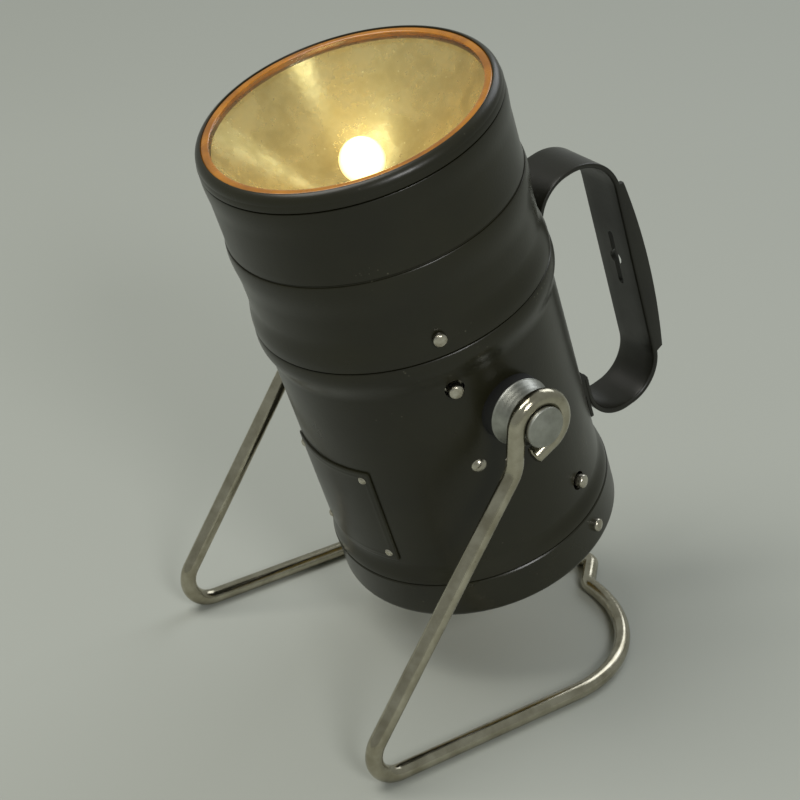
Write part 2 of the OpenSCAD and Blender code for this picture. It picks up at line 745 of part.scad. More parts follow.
// Amber ring that beds the lens, bevelled down to the glass
module amber_ring() {
    color([0.8, 0.45, 0.1]) tilted() rotate_extrude($fn = 96) polygon([
        [lens_open_r, lens_z + 0.02], [lens_open_r + 0.3, lens_z + 0.3], [lip_r - 0.8, amber_top_z], [lip_r - 0.05, amber_top_z],
        [lip_r - 0.05, seat_z + 0.02], [lens_r + 0.05, seat_z + 0.02], [lens_r + 0.05, lens_z + 0.02]]);
}

// Spun reflector: a deep parabola with a flat rim that presses the glass into its bedding
module reflector() {
    steps = 16;
    inner = [for (i = [0:steps]) let (r = reflector_hole_r + (lens_open_r - reflector_hole_r) * i / steps)
        [r, reflector_z + r * r / (4 * focus)]];
    outer = [for (i = [steps - 1:-1:0]) [inner[i][0] + reflector_t * 0.9, inner[i][1] - reflector_t * 0.4]];
    color([0.85, 0.75, 0.45]) tilted() rotate_extrude($fn = 96) polygon(concat(
        inner, [[reflector_rim_r, seat_z], [reflector_rim_r, seat_z - reflector_t], [lens_open_r + 0.8, seat_z - reflector_t]], outer));
}

// Split wire ring, sprung into the bezel's skirt, that holds the reflector up
module retaining_ring() {
    color([0.6, 0.58, 0.5]) tilted() translate([0, 0, seat_z - reflector_t - ring_wire_r - 0.02]) rotate([0, 0, 100])
        rotate_extrude(angle = 348, $fn = 96) translate([skirt_in_r - ring_wire_r - 0.02, 0]) circle(r = ring_wire_r, $fn = 24);
}

module bulb_glass() {
    color([1, 0.95, 0.8, 0.5]) tilted() {
        translate([0, 0, bulb_z]) sphere(r = bulb_r);
        translate([0, 0, bulb_neck_z - 0.6]) cylinder(r = bulb_cap_r - 0.7, h = 3);
    }
}

module bulb_cap() {
    color([0.75, 0.65, 0.4]) tilted() {
        difference() {
            union() {
                translate([0, 0, bulb_cap_z]) cylinder(r = bulb_cap_r, h = bulb_cap_h - 2);
                translate([0, 0, bulb_cap_z - 1]) cylinder(r1 = 2, r2 = bulb_cap_r, h = 1);
            }
            translate([0, 0, bulb_neck_z - 0.65]) cylinder(r = bulb_cap_r - 0.65, h = 5);
            translate([0, 0, bulb_z]) sphere(r = bulb_r + 0.05);
        }
    }
}

module bulb_holder() {
    color([0.7, 0.6, 0.35]) tilted() translate([0, 0, holder_z]) difference() {
        cylinder(r = holder_r, h = holder_h - 2);
        translate([0, 0, 0.45]) cylinder(r = bulb_cap_r + 0.05, h = holder_h);
    }
}

// Bridge across the head that carries the bulb holder over the contact disc
module holder_bracket() {
    color([0.6, 0.58, 0.5]) tilted() difference() {
        union() {
            translate([-bracket_reach, -bracket_w / 2, bracket_z]) cube([2 * bracket_reach, bracket_w, bracket_t]);
            for (x = [-1, 1]) translate([x * (bracket_reach - bracket_t / 2) - bracket_t / 2, -bracket_w / 2, disc_z + disc_t])
                cube([bracket_t, bracket_w, bracket_z - disc_z - disc_t + eps]);
            for (x = [-1, 1]) translate([x > 0 ? bracket_reach - 10 : -bracket_reach, -bracket_w / 2, disc_z + disc_t])
                cube([10, bracket_w, bracket_t]);
        }
        for (x = [-1, 1]) translate([x * (bracket_reach - 6), 0, disc_z]) cylinder(r = 1.5, h = 8);
    }
}

module bracket_screws() {
    color([0.7, 0.62, 0.4]) tilted() for (x = [-1, 1]) translate([x * (bracket_reach - 6), 0, disc_z]) {
        translate([0, 0, 0.2]) cylinder(r = 1.5, h = disc_t + bracket_t);
        translate([0, 0, disc_t + bracket_t]) cylinder(r = 2.8, h = 1.6);
    }
}

// Insulating disc that closes the mouth of the head
module contact_disc() {
    color([0.28, 0.16, 0.1]) tilted() difference() {
        translate([0, 0, disc_z]) cylinder(r = disc_r, h = disc_t);
        for (x = [-1, 1]) translate([x * (bracket_reach - 6), 0, disc_z - 1]) cylinder(r = 1.5, h = 8);
        for (side = [0, 180]) rotate([0, 0, side - head_latch_a]) translate([leaf_x - 2.2, -leaf_w / 2 - 0.8, disc_z - 1])
            cube([12, leaf_w + 1.6, 10]);
    }
}

module centre_contact() {
    color([0.75, 0.6, 0.3]) tilted() translate([0, 0, disc_z - contact_t]) cylinder(r = centre_contact_r, h = contact_t);
}

module side_contact() {
    color([0.75, 0.6, 0.3]) tilted() translate([0, 0, disc_z - contact_t]) difference() {
        tube(side_contact_out_r, side_contact_in_r, contact_t);
        for (x = [-1, 1]) translate([x * (bracket_reach - 6), 0, -1]) cylinder(r = 3, h = 4);
    }
}

// Flat leaf from its rivet to its stud, at one latch
module leaf(z_low, z_high, z_rivet) {
    translate([leaf_x, -leaf_w / 2, z_low]) difference() {
        cube([leaf_t, leaf_w, z_high - z_low]);
        translate([-1, leaf_w / 2, z_rivet - z_low]) rotate([0, 90, 0]) cylinder(r = rivet_shank_r + 0.15, h = 3);
    }
}

module head_leaf() {
    leaf(head_stud_z - leaf_end, head_rivet_z + leaf_end, head_rivet_z);
}

module cap_leaf() {
    leaf(cap_rivet_z - leaf_end, cap_stud_z + leaf_end, cap_rivet_z);
}

module head_leaf_near() {
    color([0.5, 0.48, 0.42]) tilted() rotate([0, 0, -head_latch_a]) head_leaf();
}

module head_leaf_far() {
    color([0.5, 0.48, 0.42]) tilted() rotate([0, 0, 180 - head_latch_a]) head_leaf();
}

module cap_leaf_near() {
    color([0.5, 0.48, 0.42]) tilted() rotate([0, 0, cap_latch_a]) cap_leaf();
}

module cap_leaf_far() {
    color([0.5, 0.48, 0.42]) tilted() rotate([0, 0, 180 + cap_latch_a]) cap_leaf();
}

// Round-headed rivet through a wall of outer radius wall_r, with its spacer inside
module latch_rivet(wall_r) {
    translate([0, 0, leaf_x - rivet_play - 0.6]) cylinder(r = rivet_r, h = 0.6);
    translate([0, 0, leaf_x - rivet_play - 0.3]) cylinder(r = rivet_shank_r, h = wall_r - leaf_x + rivet_play + 0.5);
    translate([0, 0, leaf_x + leaf_t + rivet_play]) cylinder(r = rivet_r, h = wall_r - sheet - leaf_x - leaf_t - rivet_play - 0.6);
    translate([0, 0, wall_r + 0.05]) cylinder(r = rivet_r, h = rivet_h - 0.6);
    translate([0, 0, wall_r + rivet_h - 0.55]) cylinder(r1 = rivet_r, r2 = rivet_r - 0.6, h = 0.6);
}

head_rivet_wall_r = flare_r - (flare_r - head_r) * (head_rivet_z - head_z - 2.4) / (flare_h - 2.4);

module head_rivets() {
    color([0.4, 0.38, 0.32]) tilted() for (side = [0, 180]) outwards(side - head_latch_a, head_rivet_z)
        latch_rivet(head_rivet_wall_r + 0.3);
}

module cap_rivets() {
    color([0.4, 0.38, 0.32]) tilted() for (side = [0, 180]) outwards(side + cap_latch_a, cap_rivet_z)
        latch_rivet(cap_r);
}

// One latch stud standing on its leaf and out through the case
module latch_stud() {
    tip = case_r + stud_out;
    translate([0, 0, leaf_x + leaf_t + 0.02]) cylinder(r = stud_flange_r, h = stud_flange_t);
    translate([0, 0, leaf_x + leaf_t + 0.1]) cylinder(r = stud_r, h = tip - 0.7 - leaf_x - leaf_t - 0.1);
    translate([0, 0, tip - 0.7]) cylinder(r1 = stud_r, r2 = stud_r - 0.7, h = 0.7);
}

module head_stud_near() {
    color([0.5, 0.48, 0.4]) tilted() outwards(-head_latch_a, head_stud_z) latch_stud();
}

module head_stud_far() {
    color([0.5, 0.48, 0.4]) tilted() outwards(180 - head_latch_a, head_stud_z) latch_stud();
}

module cap_stud_near() {
    color([0.5, 0.48, 0.4]) tilted() outwards(cap_latch_a, cap_stud_z) latch_stud();
}

module cap_stud_far() {
    color([0.5, 0.48, 0.4]) tilted() outwards(180 + cap_latch_a, cap_stud_z) latch_stud();
}

cap_outer = concat(
    [[cap_r, cap_z], [cap_r, base_z + base_edge_r]],
    arc(cap_r - base_edge_r, base_z + base_edge_r, base_edge_r, 0, -90, 6));

// Pressed cap with a rounded edge, a recessed base and a collar that enters the case
module bottom_cap() {
    color([0.2, 0.2, 0.16]) tilted() difference() {
        union() {
            rotate_extrude($fn = 96) polygon(concat(
                cap_outer, [[0, base_z], [0, base_z + sheet], [cap_r - base_edge_r, base_z + sheet]],
                arc(cap_r - base_edge_r, base_z + base_edge_r, base_edge_r - sheet, -90, 0, 6), [[cap_r - sheet, cap_z]]));
            translate([0, 0, cap_z - 2]) tube(collar_r, collar_r - sheet, collar_h + 2);
            translate([0, 0, cap_z - 1.4]) tube(cap_r - sheet / 2, collar_r - sheet / 2, 1.2);
        }
        for (side = [0, 180]) {
            outwards(side + cap_latch_a, cap_rivet_z) cylinder(r = rivet_shank_r, h = case_r + 8);
            rotate([0, 0, side + cap_latch_a]) translate([leaf_x - 2, -leaf_w / 2 - 0.8, cap_z - 3])
                cube([collar_r - leaf_x + 2.15, leaf_w + 1.6, collar_h + 4]);
        }
    }
}

// Oblong plate on the back of the head, curved to it, with the slider's slot
module switch_plate() {
    color([0.18, 0.18, 0.15]) tilted() difference() {
        translate([0, 0, switch_z - switch_h / 2]) rotate([0, 0, 90]) intersection() {
            tube(head_r + switch_t, head_r, switch_h);
            translate([0, -switch_w / 2, 0]) cube([head_r + 10, switch_w, switch_h]);
        }
        outwards(90, switch_z) translate([-(switch_travel + switch_slot_w) / 2 - 0.4, -switch_slot_w / 2 - 0.3, case_in_r])
            cube([switch_travel + switch_slot_w + 0.8, switch_slot_w + 0.6, 14]);
        for (a = [-1, 1]) outwards(90 + a * switch_screw_a, switch_z) cylinder(r = switch_screw_r, h = case_r + 8);
    }
}

module switch_screws() {
    color([0.4, 0.38, 0.32]) tilted() for (a = [-1, 1]) outwards(90 + a * switch_screw_a, switch_z) {
        translate([0, 0, head_r - 3]) cylinder(r = switch_screw_r, h = switch_t + 3.02);
        translate([0, 0, head_r + switch_t + 0.02]) cylinder(r1 = 2.2, r2 = 1.6, h = 0.8);
    }
}

// Thumb piece with its stem through the slot, drawn at the upper, switched-on end
module switch_slider() {
    color([0.1, 0.1, 0.1]) tilted() outwards(90, switch_z + switch_travel / 2) {
        translate([-switch_slot_w / 2, -switch_slot_w / 2, head_r - 5]) cube([switch_slot_w, switch_slot_w, 5 + switch_t + 0.5]);
        difference() {
            translate([-switch_knob_h / 2, -switch_knob_w / 2, head_r + switch_t + 0.3])
                cube([switch_knob_h, switch_knob_w, switch_knob_t]);
            for (x = [-1.8, 0, 1.8]) translate([x, 0, head_r + switch_t + 0.3 + switch_knob_t + 0.6]) rotate([90, 0, 0])
                cylinder(r = 1, h = 20, center = true);
        }
    }
}

// Springy strip behind the slider that makes the circuit
module switch_contact() {
    color([0.75, 0.6, 0.3]) tilted() rotate([0, 0, 90])
        translate([head_r - 9, -contact_strip_w / 2, switch_z - contact_strip_l / 2]) {
            cube([contact_strip_t, contact_strip_w, contact_strip_l]);
            for (z = [0, contact_strip_l - contact_strip_t]) translate([0, 0, z])
                cube([9 - sheet - 0.1, contact_strip_w, contact_strip_t]);
        }
}

stand();
case_shell();
pivot_studs();
pivot_nuts();
battery_guides();
guide_rivets();
name_plate();
name_plate_rivets();
handle();
handle_pad();
handle_rivets();
battery();
battery_springs();
battery_pad();
head_shell();
head_gasket();
bezel();
lens();
amber_ring();
reflector();
retaining_ring();
bulb_glass();
bulb_cap();
bulb_holder();
holder_bracket();
bracket_screws();
contact_disc();
centre_contact();
side_contact();
head_leaf_near();
head_leaf_far();
head_rivets();
head_stud_near();
head_stud_far();
bottom_cap();
cap_leaf_near();
cap_leaf_far();
cap_rivets();
cap_stud_near();
cap_stud_far();
switch_plate();
switch_screws();
switch_slider();
switch_contact();
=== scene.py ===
"""Dresses a railway hand lamp: an enamelled battery drum that tilts in a bent wire stand.

Every mesh is built in millimetres, in the lamp's own upright frame (origin at the pivot, +Y
towards the handle, +Z towards the lens) or in the stand's frame (origin at the pivot, +Z up),
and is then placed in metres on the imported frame. Angles in fields and arguments are in degrees.
"""

from __future__ import annotations

import json
import logging
import math
from dataclasses import dataclass, field
from enum import Enum

import bmesh
import bpy
from mathutils import Matrix, Vector

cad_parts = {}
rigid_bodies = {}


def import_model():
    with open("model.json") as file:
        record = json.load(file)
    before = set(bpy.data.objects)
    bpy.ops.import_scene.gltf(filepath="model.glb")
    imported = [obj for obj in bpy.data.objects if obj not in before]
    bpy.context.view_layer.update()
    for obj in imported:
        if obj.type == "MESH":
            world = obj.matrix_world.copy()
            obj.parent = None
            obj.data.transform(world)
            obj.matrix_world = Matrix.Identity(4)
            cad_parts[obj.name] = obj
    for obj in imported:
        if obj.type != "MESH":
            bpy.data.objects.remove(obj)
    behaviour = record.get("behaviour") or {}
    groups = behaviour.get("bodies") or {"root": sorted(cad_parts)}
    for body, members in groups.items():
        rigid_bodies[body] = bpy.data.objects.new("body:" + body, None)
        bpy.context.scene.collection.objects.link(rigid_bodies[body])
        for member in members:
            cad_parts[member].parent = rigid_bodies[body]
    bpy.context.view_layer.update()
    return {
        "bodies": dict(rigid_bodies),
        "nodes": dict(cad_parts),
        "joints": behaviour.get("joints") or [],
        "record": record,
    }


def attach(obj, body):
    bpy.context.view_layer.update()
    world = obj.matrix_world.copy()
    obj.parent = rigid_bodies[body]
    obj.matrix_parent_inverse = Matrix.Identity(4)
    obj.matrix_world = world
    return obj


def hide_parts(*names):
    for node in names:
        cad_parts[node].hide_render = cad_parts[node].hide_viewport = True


LOG = logging.getLogger("hand_lamp")
# Metres in a millimetre
MM = 0.001
# Lean of the lamp in its stand
TILT = math.radians(18.4)
# Height of the pivot line in millimetres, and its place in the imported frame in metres
PIVOT_Z = 120.0
PIVOT = (0.0, -12.25452 * MM, PIVOT_Z * MM)
# Radii of the case's wall, the bezel's opening and the stand's wire
CASE_R = 49.8
LIP_R = 47.6
WIRE_R = 3.0
# Heights of the reflector's rim under the bezel, and of the bezel's own rim
SEAT_Z = 97.0
RIM_Z = 100.1
# Angle and height of the near latch studs; the far ones stand half a turn away
HEAD_LATCH = (-19.6, 17.8)
CAP_LATCH = (22.2, -49.6)
# Turns of the near and the far side
SIDES = (0, 180)
# Steps round a large turned shell
FINE = 192
# Angle over which an edge stays sharp
CREASE = 32.0
# Share of a swell's height at which it stands out most, and the steps up to there
CROWN = 0.74
SWELL_STEPS = 9
# Length of wire that one unit of its texture covers
WIRE_UV = 60.0

STAND_FRAME = Matrix.Translation(PIVOT) @ Matrix.Scale(MM, 4)
LAMP_FRAME = Matrix.Translation(PIVOT) @ Matrix.Rotation(TILT, 4, "X") @ Matrix.Scale(MM, 4)

Point2 = tuple[float, float]
Socket = bpy.types.NodeSocket


class Body(Enum):
    """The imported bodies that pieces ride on."""

    STAND = "stand"
    CASE = "case"
    HEAD_NEAR = "head_latch_near_leaf"
    HEAD_FAR = "head_latch_far_leaf"
    CAP_NEAR = "cap_latch_near_leaf"
    CAP_FAR = "cap_latch_far_leaf"


class Grain(Enum):
    """The kinds of surface relief that the finishes use."""

    ORANGE_PEEL = "orange peel of a stoved enamel"
    DRAWN = "die lines along a drawn wire"
    TURNED = "tool rings round the pivot line"
    HAMMERED = "faint hammer marks and dust"
    ROLLED = "rolled sheet"
    FELTED = "pressed fibres"
    MOULDED = "fine mould texture"


def linear(code: str) -> tuple[float, float, float, float]:
    """Turns an sRGB hex colour into linear values.

    Args:
        code: Six hex digits.

    Returns:
        Linear red, green and blue, and an alpha of 1.
    """
    parts = [int(code[i : i + 2], 16) / 255 for i in (0, 2, 4)]
    r, g, b = [c / 12.92 if c <= 0.04045 else ((c + 0.055) / 1.055) ** 2.4 for c in parts]
    return (r, g, b, 1.0)


def add_node(
    tree: bpy.types.NodeTree, kind: str, inputs: dict | None = None, **settings: object
) -> bpy.types.Node:
    """Adds one node with its settings, and sets or links its inputs.

    Args:
        tree: The node tree.
        kind: The node's type name.
        inputs: Values by input name or index; a socket is linked, anything else is set.
        **settings: Properties of the node.

    Returns:
        The new node.
    """
    made = tree.nodes.new(kind)
    for key, value in settings.items():
        setattr(made, key, value)
    for key, value in (inputs or {}).items():
        if isinstance(value, Socket):
            tree.links.new(value, made.inputs[key])
        else:
            made.inputs[key].default_value = value
    return made


def blank_material(name: str) -> tuple[bpy.types.Material, bpy.types.NodeTree, Socket]:
    """Makes a material that holds nothing but its coordinates.

    Args:
        name: The material's name.

    Returns:
        The material, its node tree and a socket with coordinates in metres.
    """
    material = bpy.data.materials.new(name)
    material.use_nodes = True
    tree = material.node_tree
    tree.nodes.clear()
    return material, tree, add_node(tree, "ShaderNodeTexCoord").outputs["Object"]


@dataclass(frozen=True)
class Finish:
    """One finish: what the surface is made of and how it was worked.

    Attributes:
        name: The material's common name.
        colour: Its sRGB hex colour.
        shade: A second sRGB hex colour that large soft patches drift towards.
        metallic: 1 for bare metal, 0 for the rest.
        roughness: The middle roughness.
        spread: How far the roughness wanders from the middle.
        grain: The kind of relief.
        grain_mm: The size of that relief in millimetres.
        relief: The strength of the bump.
        depth_mm: The height of that relief in millimetres.
        patch_mm: The size of the colour patches in millimetres.
        coat: Strength of a clear top coat.
        ior: Index of refraction, for anything that isn't metal.
        marks: Share of the surface with small light dust marks or chips.
        mark_colour: The sRGB hex colour of those marks.
        mark_mm: The spacing of those marks in millimetres.
        cluster_mm: The size of the clusters that they lie in, in millimetres.
        spun: Strength of the streaks that spinning round the lamp's axis leaves.
    """

    name: str
    colour: str
    shade: str
    metallic: float = 0.0
    roughness: float = 0.5
    spread: float = 0.08
    grain: Grain = Grain.ROLLED
    grain_mm: float = 1.0
    relief: float = 0.1
    depth_mm: float = 0.4
    patch_mm: float = 25.0
    coat: float = 0.0
    ior: float = 1.5
    marks: float = 0.0
    mark_colour: str = "B9B4A4"
    mark_mm: float = 2.381
    cluster_mm: float = 18.182
    spun: float = 0.0

    def make(self) -> bpy.types.Material:
        """Builds the node material, or finds it where it was built before.

        Returns:
            The finished material.
        """
        known = bpy.data.materials.get(self.name)
        if known:
            return known
        material, tree, place = blank_material(self.name)
        patches = add_node(
            tree, "ShaderNodeTexNoise",
            {"Vector": place, "Scale": 1 / (self.patch_mm * MM), "Detail": 4.0, "Roughness": 0.6},
        ).outputs["Fac"]
        drift = add_node(
            tree, "ShaderNodeMapRange", {"Value": patches, "From Min": 0.35, "From Max": 0.65}
        ).outputs["Result"]
        tint = add_node(
            tree, "ShaderNodeMix",
            {"Factor": drift, 6: linear(self.colour), 7: linear(self.shade)}, data_type="RGBA",
        ).outputs[2]
        rough = add_node(
            tree, "ShaderNodeMapRange",
            {"Value": patches, "From Min": 0.3, "From Max": 0.7,
             "To Min": self.roughness - self.spread, "To Max": self.roughness + self.spread},
        ).outputs["Result"]
        height = self.height(tree, place)
        if self.marks > 0:
            tint, rough = self.with_marks(tree, place, tint, rough)
        bump = add_node(
            tree, "ShaderNodeBump",
            {"Height": height, "Strength": self.relief, "Distance": self.depth_mm * MM},
        ).outputs["Normal"]
        shader = add_node(
            tree, "ShaderNodeBsdfPrincipled",
            {"Base Color": tint, "Roughness": rough, "Normal": bump, "Metallic": self.metallic,
             "Coat Weight": self.coat, "Coat Roughness": 0.12},
        )
        if not self.metallic:
            shader.inputs["IOR"].default_value = self.ior
        if self.spun:
            # A quarter turn lays the highlights along the bowl's spokes
            shader.inputs["Anisotropic"].default_value = self.spun
            shader.inputs["Anisotropic Rotation"].default_value = 0.25
            tree.links.new(self.spin_direction(tree, place), shader.inputs["Tangent"])
        add_node(tree, "ShaderNodeOutputMaterial", {"Surface": shader.outputs["BSDF"]})
        return material

    def spin_direction(self, tree: bpy.types.NodeTree, place: Socket) -> Socket:
        """Finds the direction round the lamp's axis at each point.

        Args:
            tree: The material's node tree.
            place: Coordinates in metres.

        Returns:
            The direction socket, in world space.
        """
        centred = add_node(
            tree, "ShaderNodeVectorMath", {0: place, 1: PIVOT}, operation="SUBTRACT"
        ).outputs["Vector"]
        around = add_node(
            tree, "ShaderNodeVectorMath", {0: (0.0, -math.sin(TILT), math.cos(TILT)), 1: centred},
            operation="CROSS_PRODUCT",
        ).outputs["Vector"]
        return add_node(
            tree, "ShaderNodeVectorTransform", {"Vector": around}, vector_type="VECTOR",
            convert_from="OBJECT", convert_to="WORLD",
        ).outputs["Vector"]

    def height(self, tree: bpy.types.NodeTree, place: Socket) -> Socket:
        """Builds the relief for this finish's grain.

        Args:
            tree: The material's node tree.
            place: Coordinates in metres.

        Returns:
            The height socket.
        """
        fine = 1 / (self.grain_mm * MM)
        if self.grain is Grain.DRAWN:
            # Lines about 10 mm long. Real die lines are finer; these are as wide as they need to show
            line_mm = 10.0
            lines_round = 2 * math.pi * WIRE_R / self.grain_mm
            along = add_node(tree, "ShaderNodeUVMap").outputs["UV"]
            stretched = add_node(
                tree, "ShaderNodeMapping",
                {"Vector": along, "Scale": (WIRE_UV / line_mm, lines_round, 1.0)},
            ).outputs["Vector"]
            return add_node(
                tree, "ShaderNodeTexNoise", {"Vector": stretched, "Scale": 1.0, "Detail": 3.0}
            ).outputs["Fac"]
        if self.grain is Grain.TURNED:
            # The wave repeats every 0.314 of a unit, so its rings come two grains apart. That is
            # coarser than real feed marks of about 0.1 mm, which wouldn't show
            rings = fine / 6.3
            centred = add_node(
                tree, "ShaderNodeVectorMath", {0: place, 1: PIVOT}, operation="SUBTRACT"
            ).outputs["Vector"]
            return add_node(
                tree, "ShaderNodeTexWave",
                {"Vector": centred, "Scale": rings, "Distortion": 0.6, "Detail": 2.0, "Detail Scale": 3.0},
                wave_type="RINGS", rings_direction="X",
            ).outputs["Fac"]
        if self.grain is Grain.HAMMERED:
            return add_node(
                tree, "ShaderNodeTexVoronoi", {"Vector": place, "Scale": fine, "Smoothness": 0.6},
                feature="SMOOTH_F1",
            ).outputs["Distance"]
        detail = {Grain.ORANGE_PEEL: 1.0, Grain.ROLLED: 5.0, Grain.FELTED: 12.0, Grain.MOULDED: 3.0}
        return add_node(
            tree, "ShaderNodeTexNoise", {"Vector": place, "Scale": fine, "Detail": detail[self.grain]}
        ).outputs["Fac"]

    def with_marks(
        self, tree: bpy.types.NodeTree, place: Socket, tint: Socket, rough: Socket
    ) -> tuple[Socket, Socket]:
        """Scatters small light marks, such as dust or chips, over the finish.

        Args:
            tree: The material's node tree.
            place: Coordinates in metres.
            tint: The colour below the marks.
            rough: The roughness below the marks.

        Returns:
            The colour and roughness with the marks on.
        """
        cells = add_node(
            tree, "ShaderNodeTexVoronoi", {"Vector": place, "Scale": 1 / (self.mark_mm * MM)}
        ).outputs["Distance"]
        clusters = add_node(
            tree, "ShaderNodeTexNoise",
            {"Vector": place, "Scale": 1 / (self.cluster_mm * MM), "Detail": 3.0},
        ).outputs["Fac"]
        spots = add_node(
            tree, "ShaderNodeMapRange",
            {"Value": cells, "From Min": 0.03, "From Max": 0.16, "To Min": 1.0, "To Max": 0.0},
        ).outputs["Result"]
        where = add_node(
            tree, "ShaderNodeMapRange",
            {"Value": clusters, "From Min": 0.62 - self.marks, "From Max": 0.72 - self.marks},
        ).outputs["Result"]
        mask = add_node(tree, "ShaderNodeMath", {0: spots, 1: where}, operation="MULTIPLY").outputs[0]
        tinted = add_node(
            tree, "ShaderNodeMix", {"Factor": mask, 6: tint, 7: linear(self.mark_colour)},
            data_type="RGBA",
        ).outputs[2]
        dulled = add_node(
            tree, "ShaderNodeMath", {0: mask, 1: 0.25, 2: rough}, operation="MULTIPLY_ADD"
        ).outputs[0]
        return tinted, dulled


# Stoved enamel on drawn sheet: a dark olive skin with soft highlights and a faint orange peel.
OLIVE_ENAMEL = Finish(
    "olive_stoved_enamel", "212012", "1B1A0E", roughness=0.31, spread=0.05, grain=Grain.ORANGE_PEEL,
    grain_mm=0.9, relief=0.05, patch_mm=40, coat=0.05, ior=1.42, marks=0.02, mark_colour="565446",
)
# The same enamel, thicker and darker on the hand-worn strip handle.
HANDLE_ENAMEL = Finish(
    "dark_handle_enamel", "1A1A11", "15140C", roughness=0.36, spread=0.07, grain=Grain.ORANGE_PEEL,
    grain_mm=0.8, relief=0.08, patch_mm=18, coat=0.08, ior=1.45, marks=0.03, mark_colour="4A4840",
)
# Nickel-plated steel wire: warm grey, bright along its crown, with fine die lines.
NICKEL_WIRE = Finish(
    "nickel_plated_wire", "B9B4A2", "9A9481", metallic=1.0, roughness=0.14, spread=0.04,
    grain=Grain.DRAWN, grain_mm=0.20944, relief=0.12, patch_mm=9, marks=0.05, mark_colour="6A6454",
)
# Turned aluminium: pale grey with tool rings that catch the light as spokes.
TURNED_ALUMINIUM = Finish(
    "turned_aluminium", "ACADA6", "979890", metallic=1.0, roughness=0.46, spread=0.06,
    grain=Grain.TURNED, grain_mm=0.3, relief=0.07, patch_mm=6, marks=0.04, mark_colour="6F7274",
)
# Nickel-plated rivets and studs: small bright domes, a little tarnished.
NICKEL_RIVET = Finish(
    "nickel_plated_rivet", "C9C5B8", "A8A292", metallic=1.0, roughness=0.24, spread=0.06,
    grain_mm=0.6, relief=0.08, patch_mm=3,
)
# Bare spring steel, for the leaves and the inner brackets: mid grey with a soft rolled sheen.
SPRING_STEEL = Finish(
    "spring_steel", "8E8A80", "75726A", metallic=1.0, roughness=0.34, grain_mm=0.5, relief=0.08,
)
# Spun and silvered brass seen under warm light: pale gold, with dust and faint spin marks.
REFLECTOR_SILVER = Finish(
    "silvered_reflector", "D6C493", "B9A772", metallic=0.6, roughness=0.28, spread=0.05,
    grain=Grain.HAMMERED, grain_mm=2.2, relief=0.1, patch_mm=9, marks=0.12, mark_colour="F6ECC8",
    spun=0.75,
)
# Amber resin ring that beds the lens: honey brown, glossy.
AMBER = Finish(
    "amber_bedding_ring", "B4751C", "8E570C", roughness=0.28, grain=Grain.MOULDED, grain_mm=0.8,
    relief=0.06, patch_mm=14, coat=0.4,
)
# Bare brass contacts and the bulb's cap: yellow, slightly dulled by handling.
BRASS = Finish(
    "brass", "C9A75A", "AE8F4A", metallic=1.0, roughness=0.32, grain_mm=0.6, relief=0.06, patch_mm=8,
)
# Golden lacquer on the recessed base: a warm satin patch under the lamp.
GOLD_LACQUER = Finish(
    "golden_lacquer", "B79C4A", "A88C3C", roughness=0.42, grain=Grain.ORANGE_PEEL, grain_mm=1.4,
    relief=0.05,
)
# Pressed wool felt: quite matt, with short fibres.
FELT = Finish(
    "pressed_felt", "5C574C", "4B473D", roughness=0.95, spread=0.03, grain=Grain.FELTED,
    grain_mm=0.4, relief=0.5,
)
# Waxed card and resin round the battery: a dull blue-black.
BATTERY_CARD = Finish(
    "waxed_card", "2C3038", "252931", roughness=0.5, grain=Grain.MOULDED, grain_mm=0.8, relief=0.08,
)
# Moulded black nitrile, for the joint ring; it also colours the pivot studs' feet matt black.
BLACK_RUBBER = Finish(
    "black_rubber", "121211", "191917", roughness=0.7, grain=Grain.MOULDED, grain_mm=0.5, relief=0.15,
)
# Brown paper-laminate board that carries the contacts: even and half glossy.
BOARD = Finish("paper_laminate", "5A3420", "4A2A19", roughness=0.45, grain_mm=0.8, relief=0.08)
# Black phenolic thumb piece: moulded, with a low gloss.
THUMB_PLASTIC = Finish(
    "black_phenolic", "191918", "141413", roughness=0.42, grain=Grain.MOULDED, grain_mm=0.5,
    relief=0.1,
)


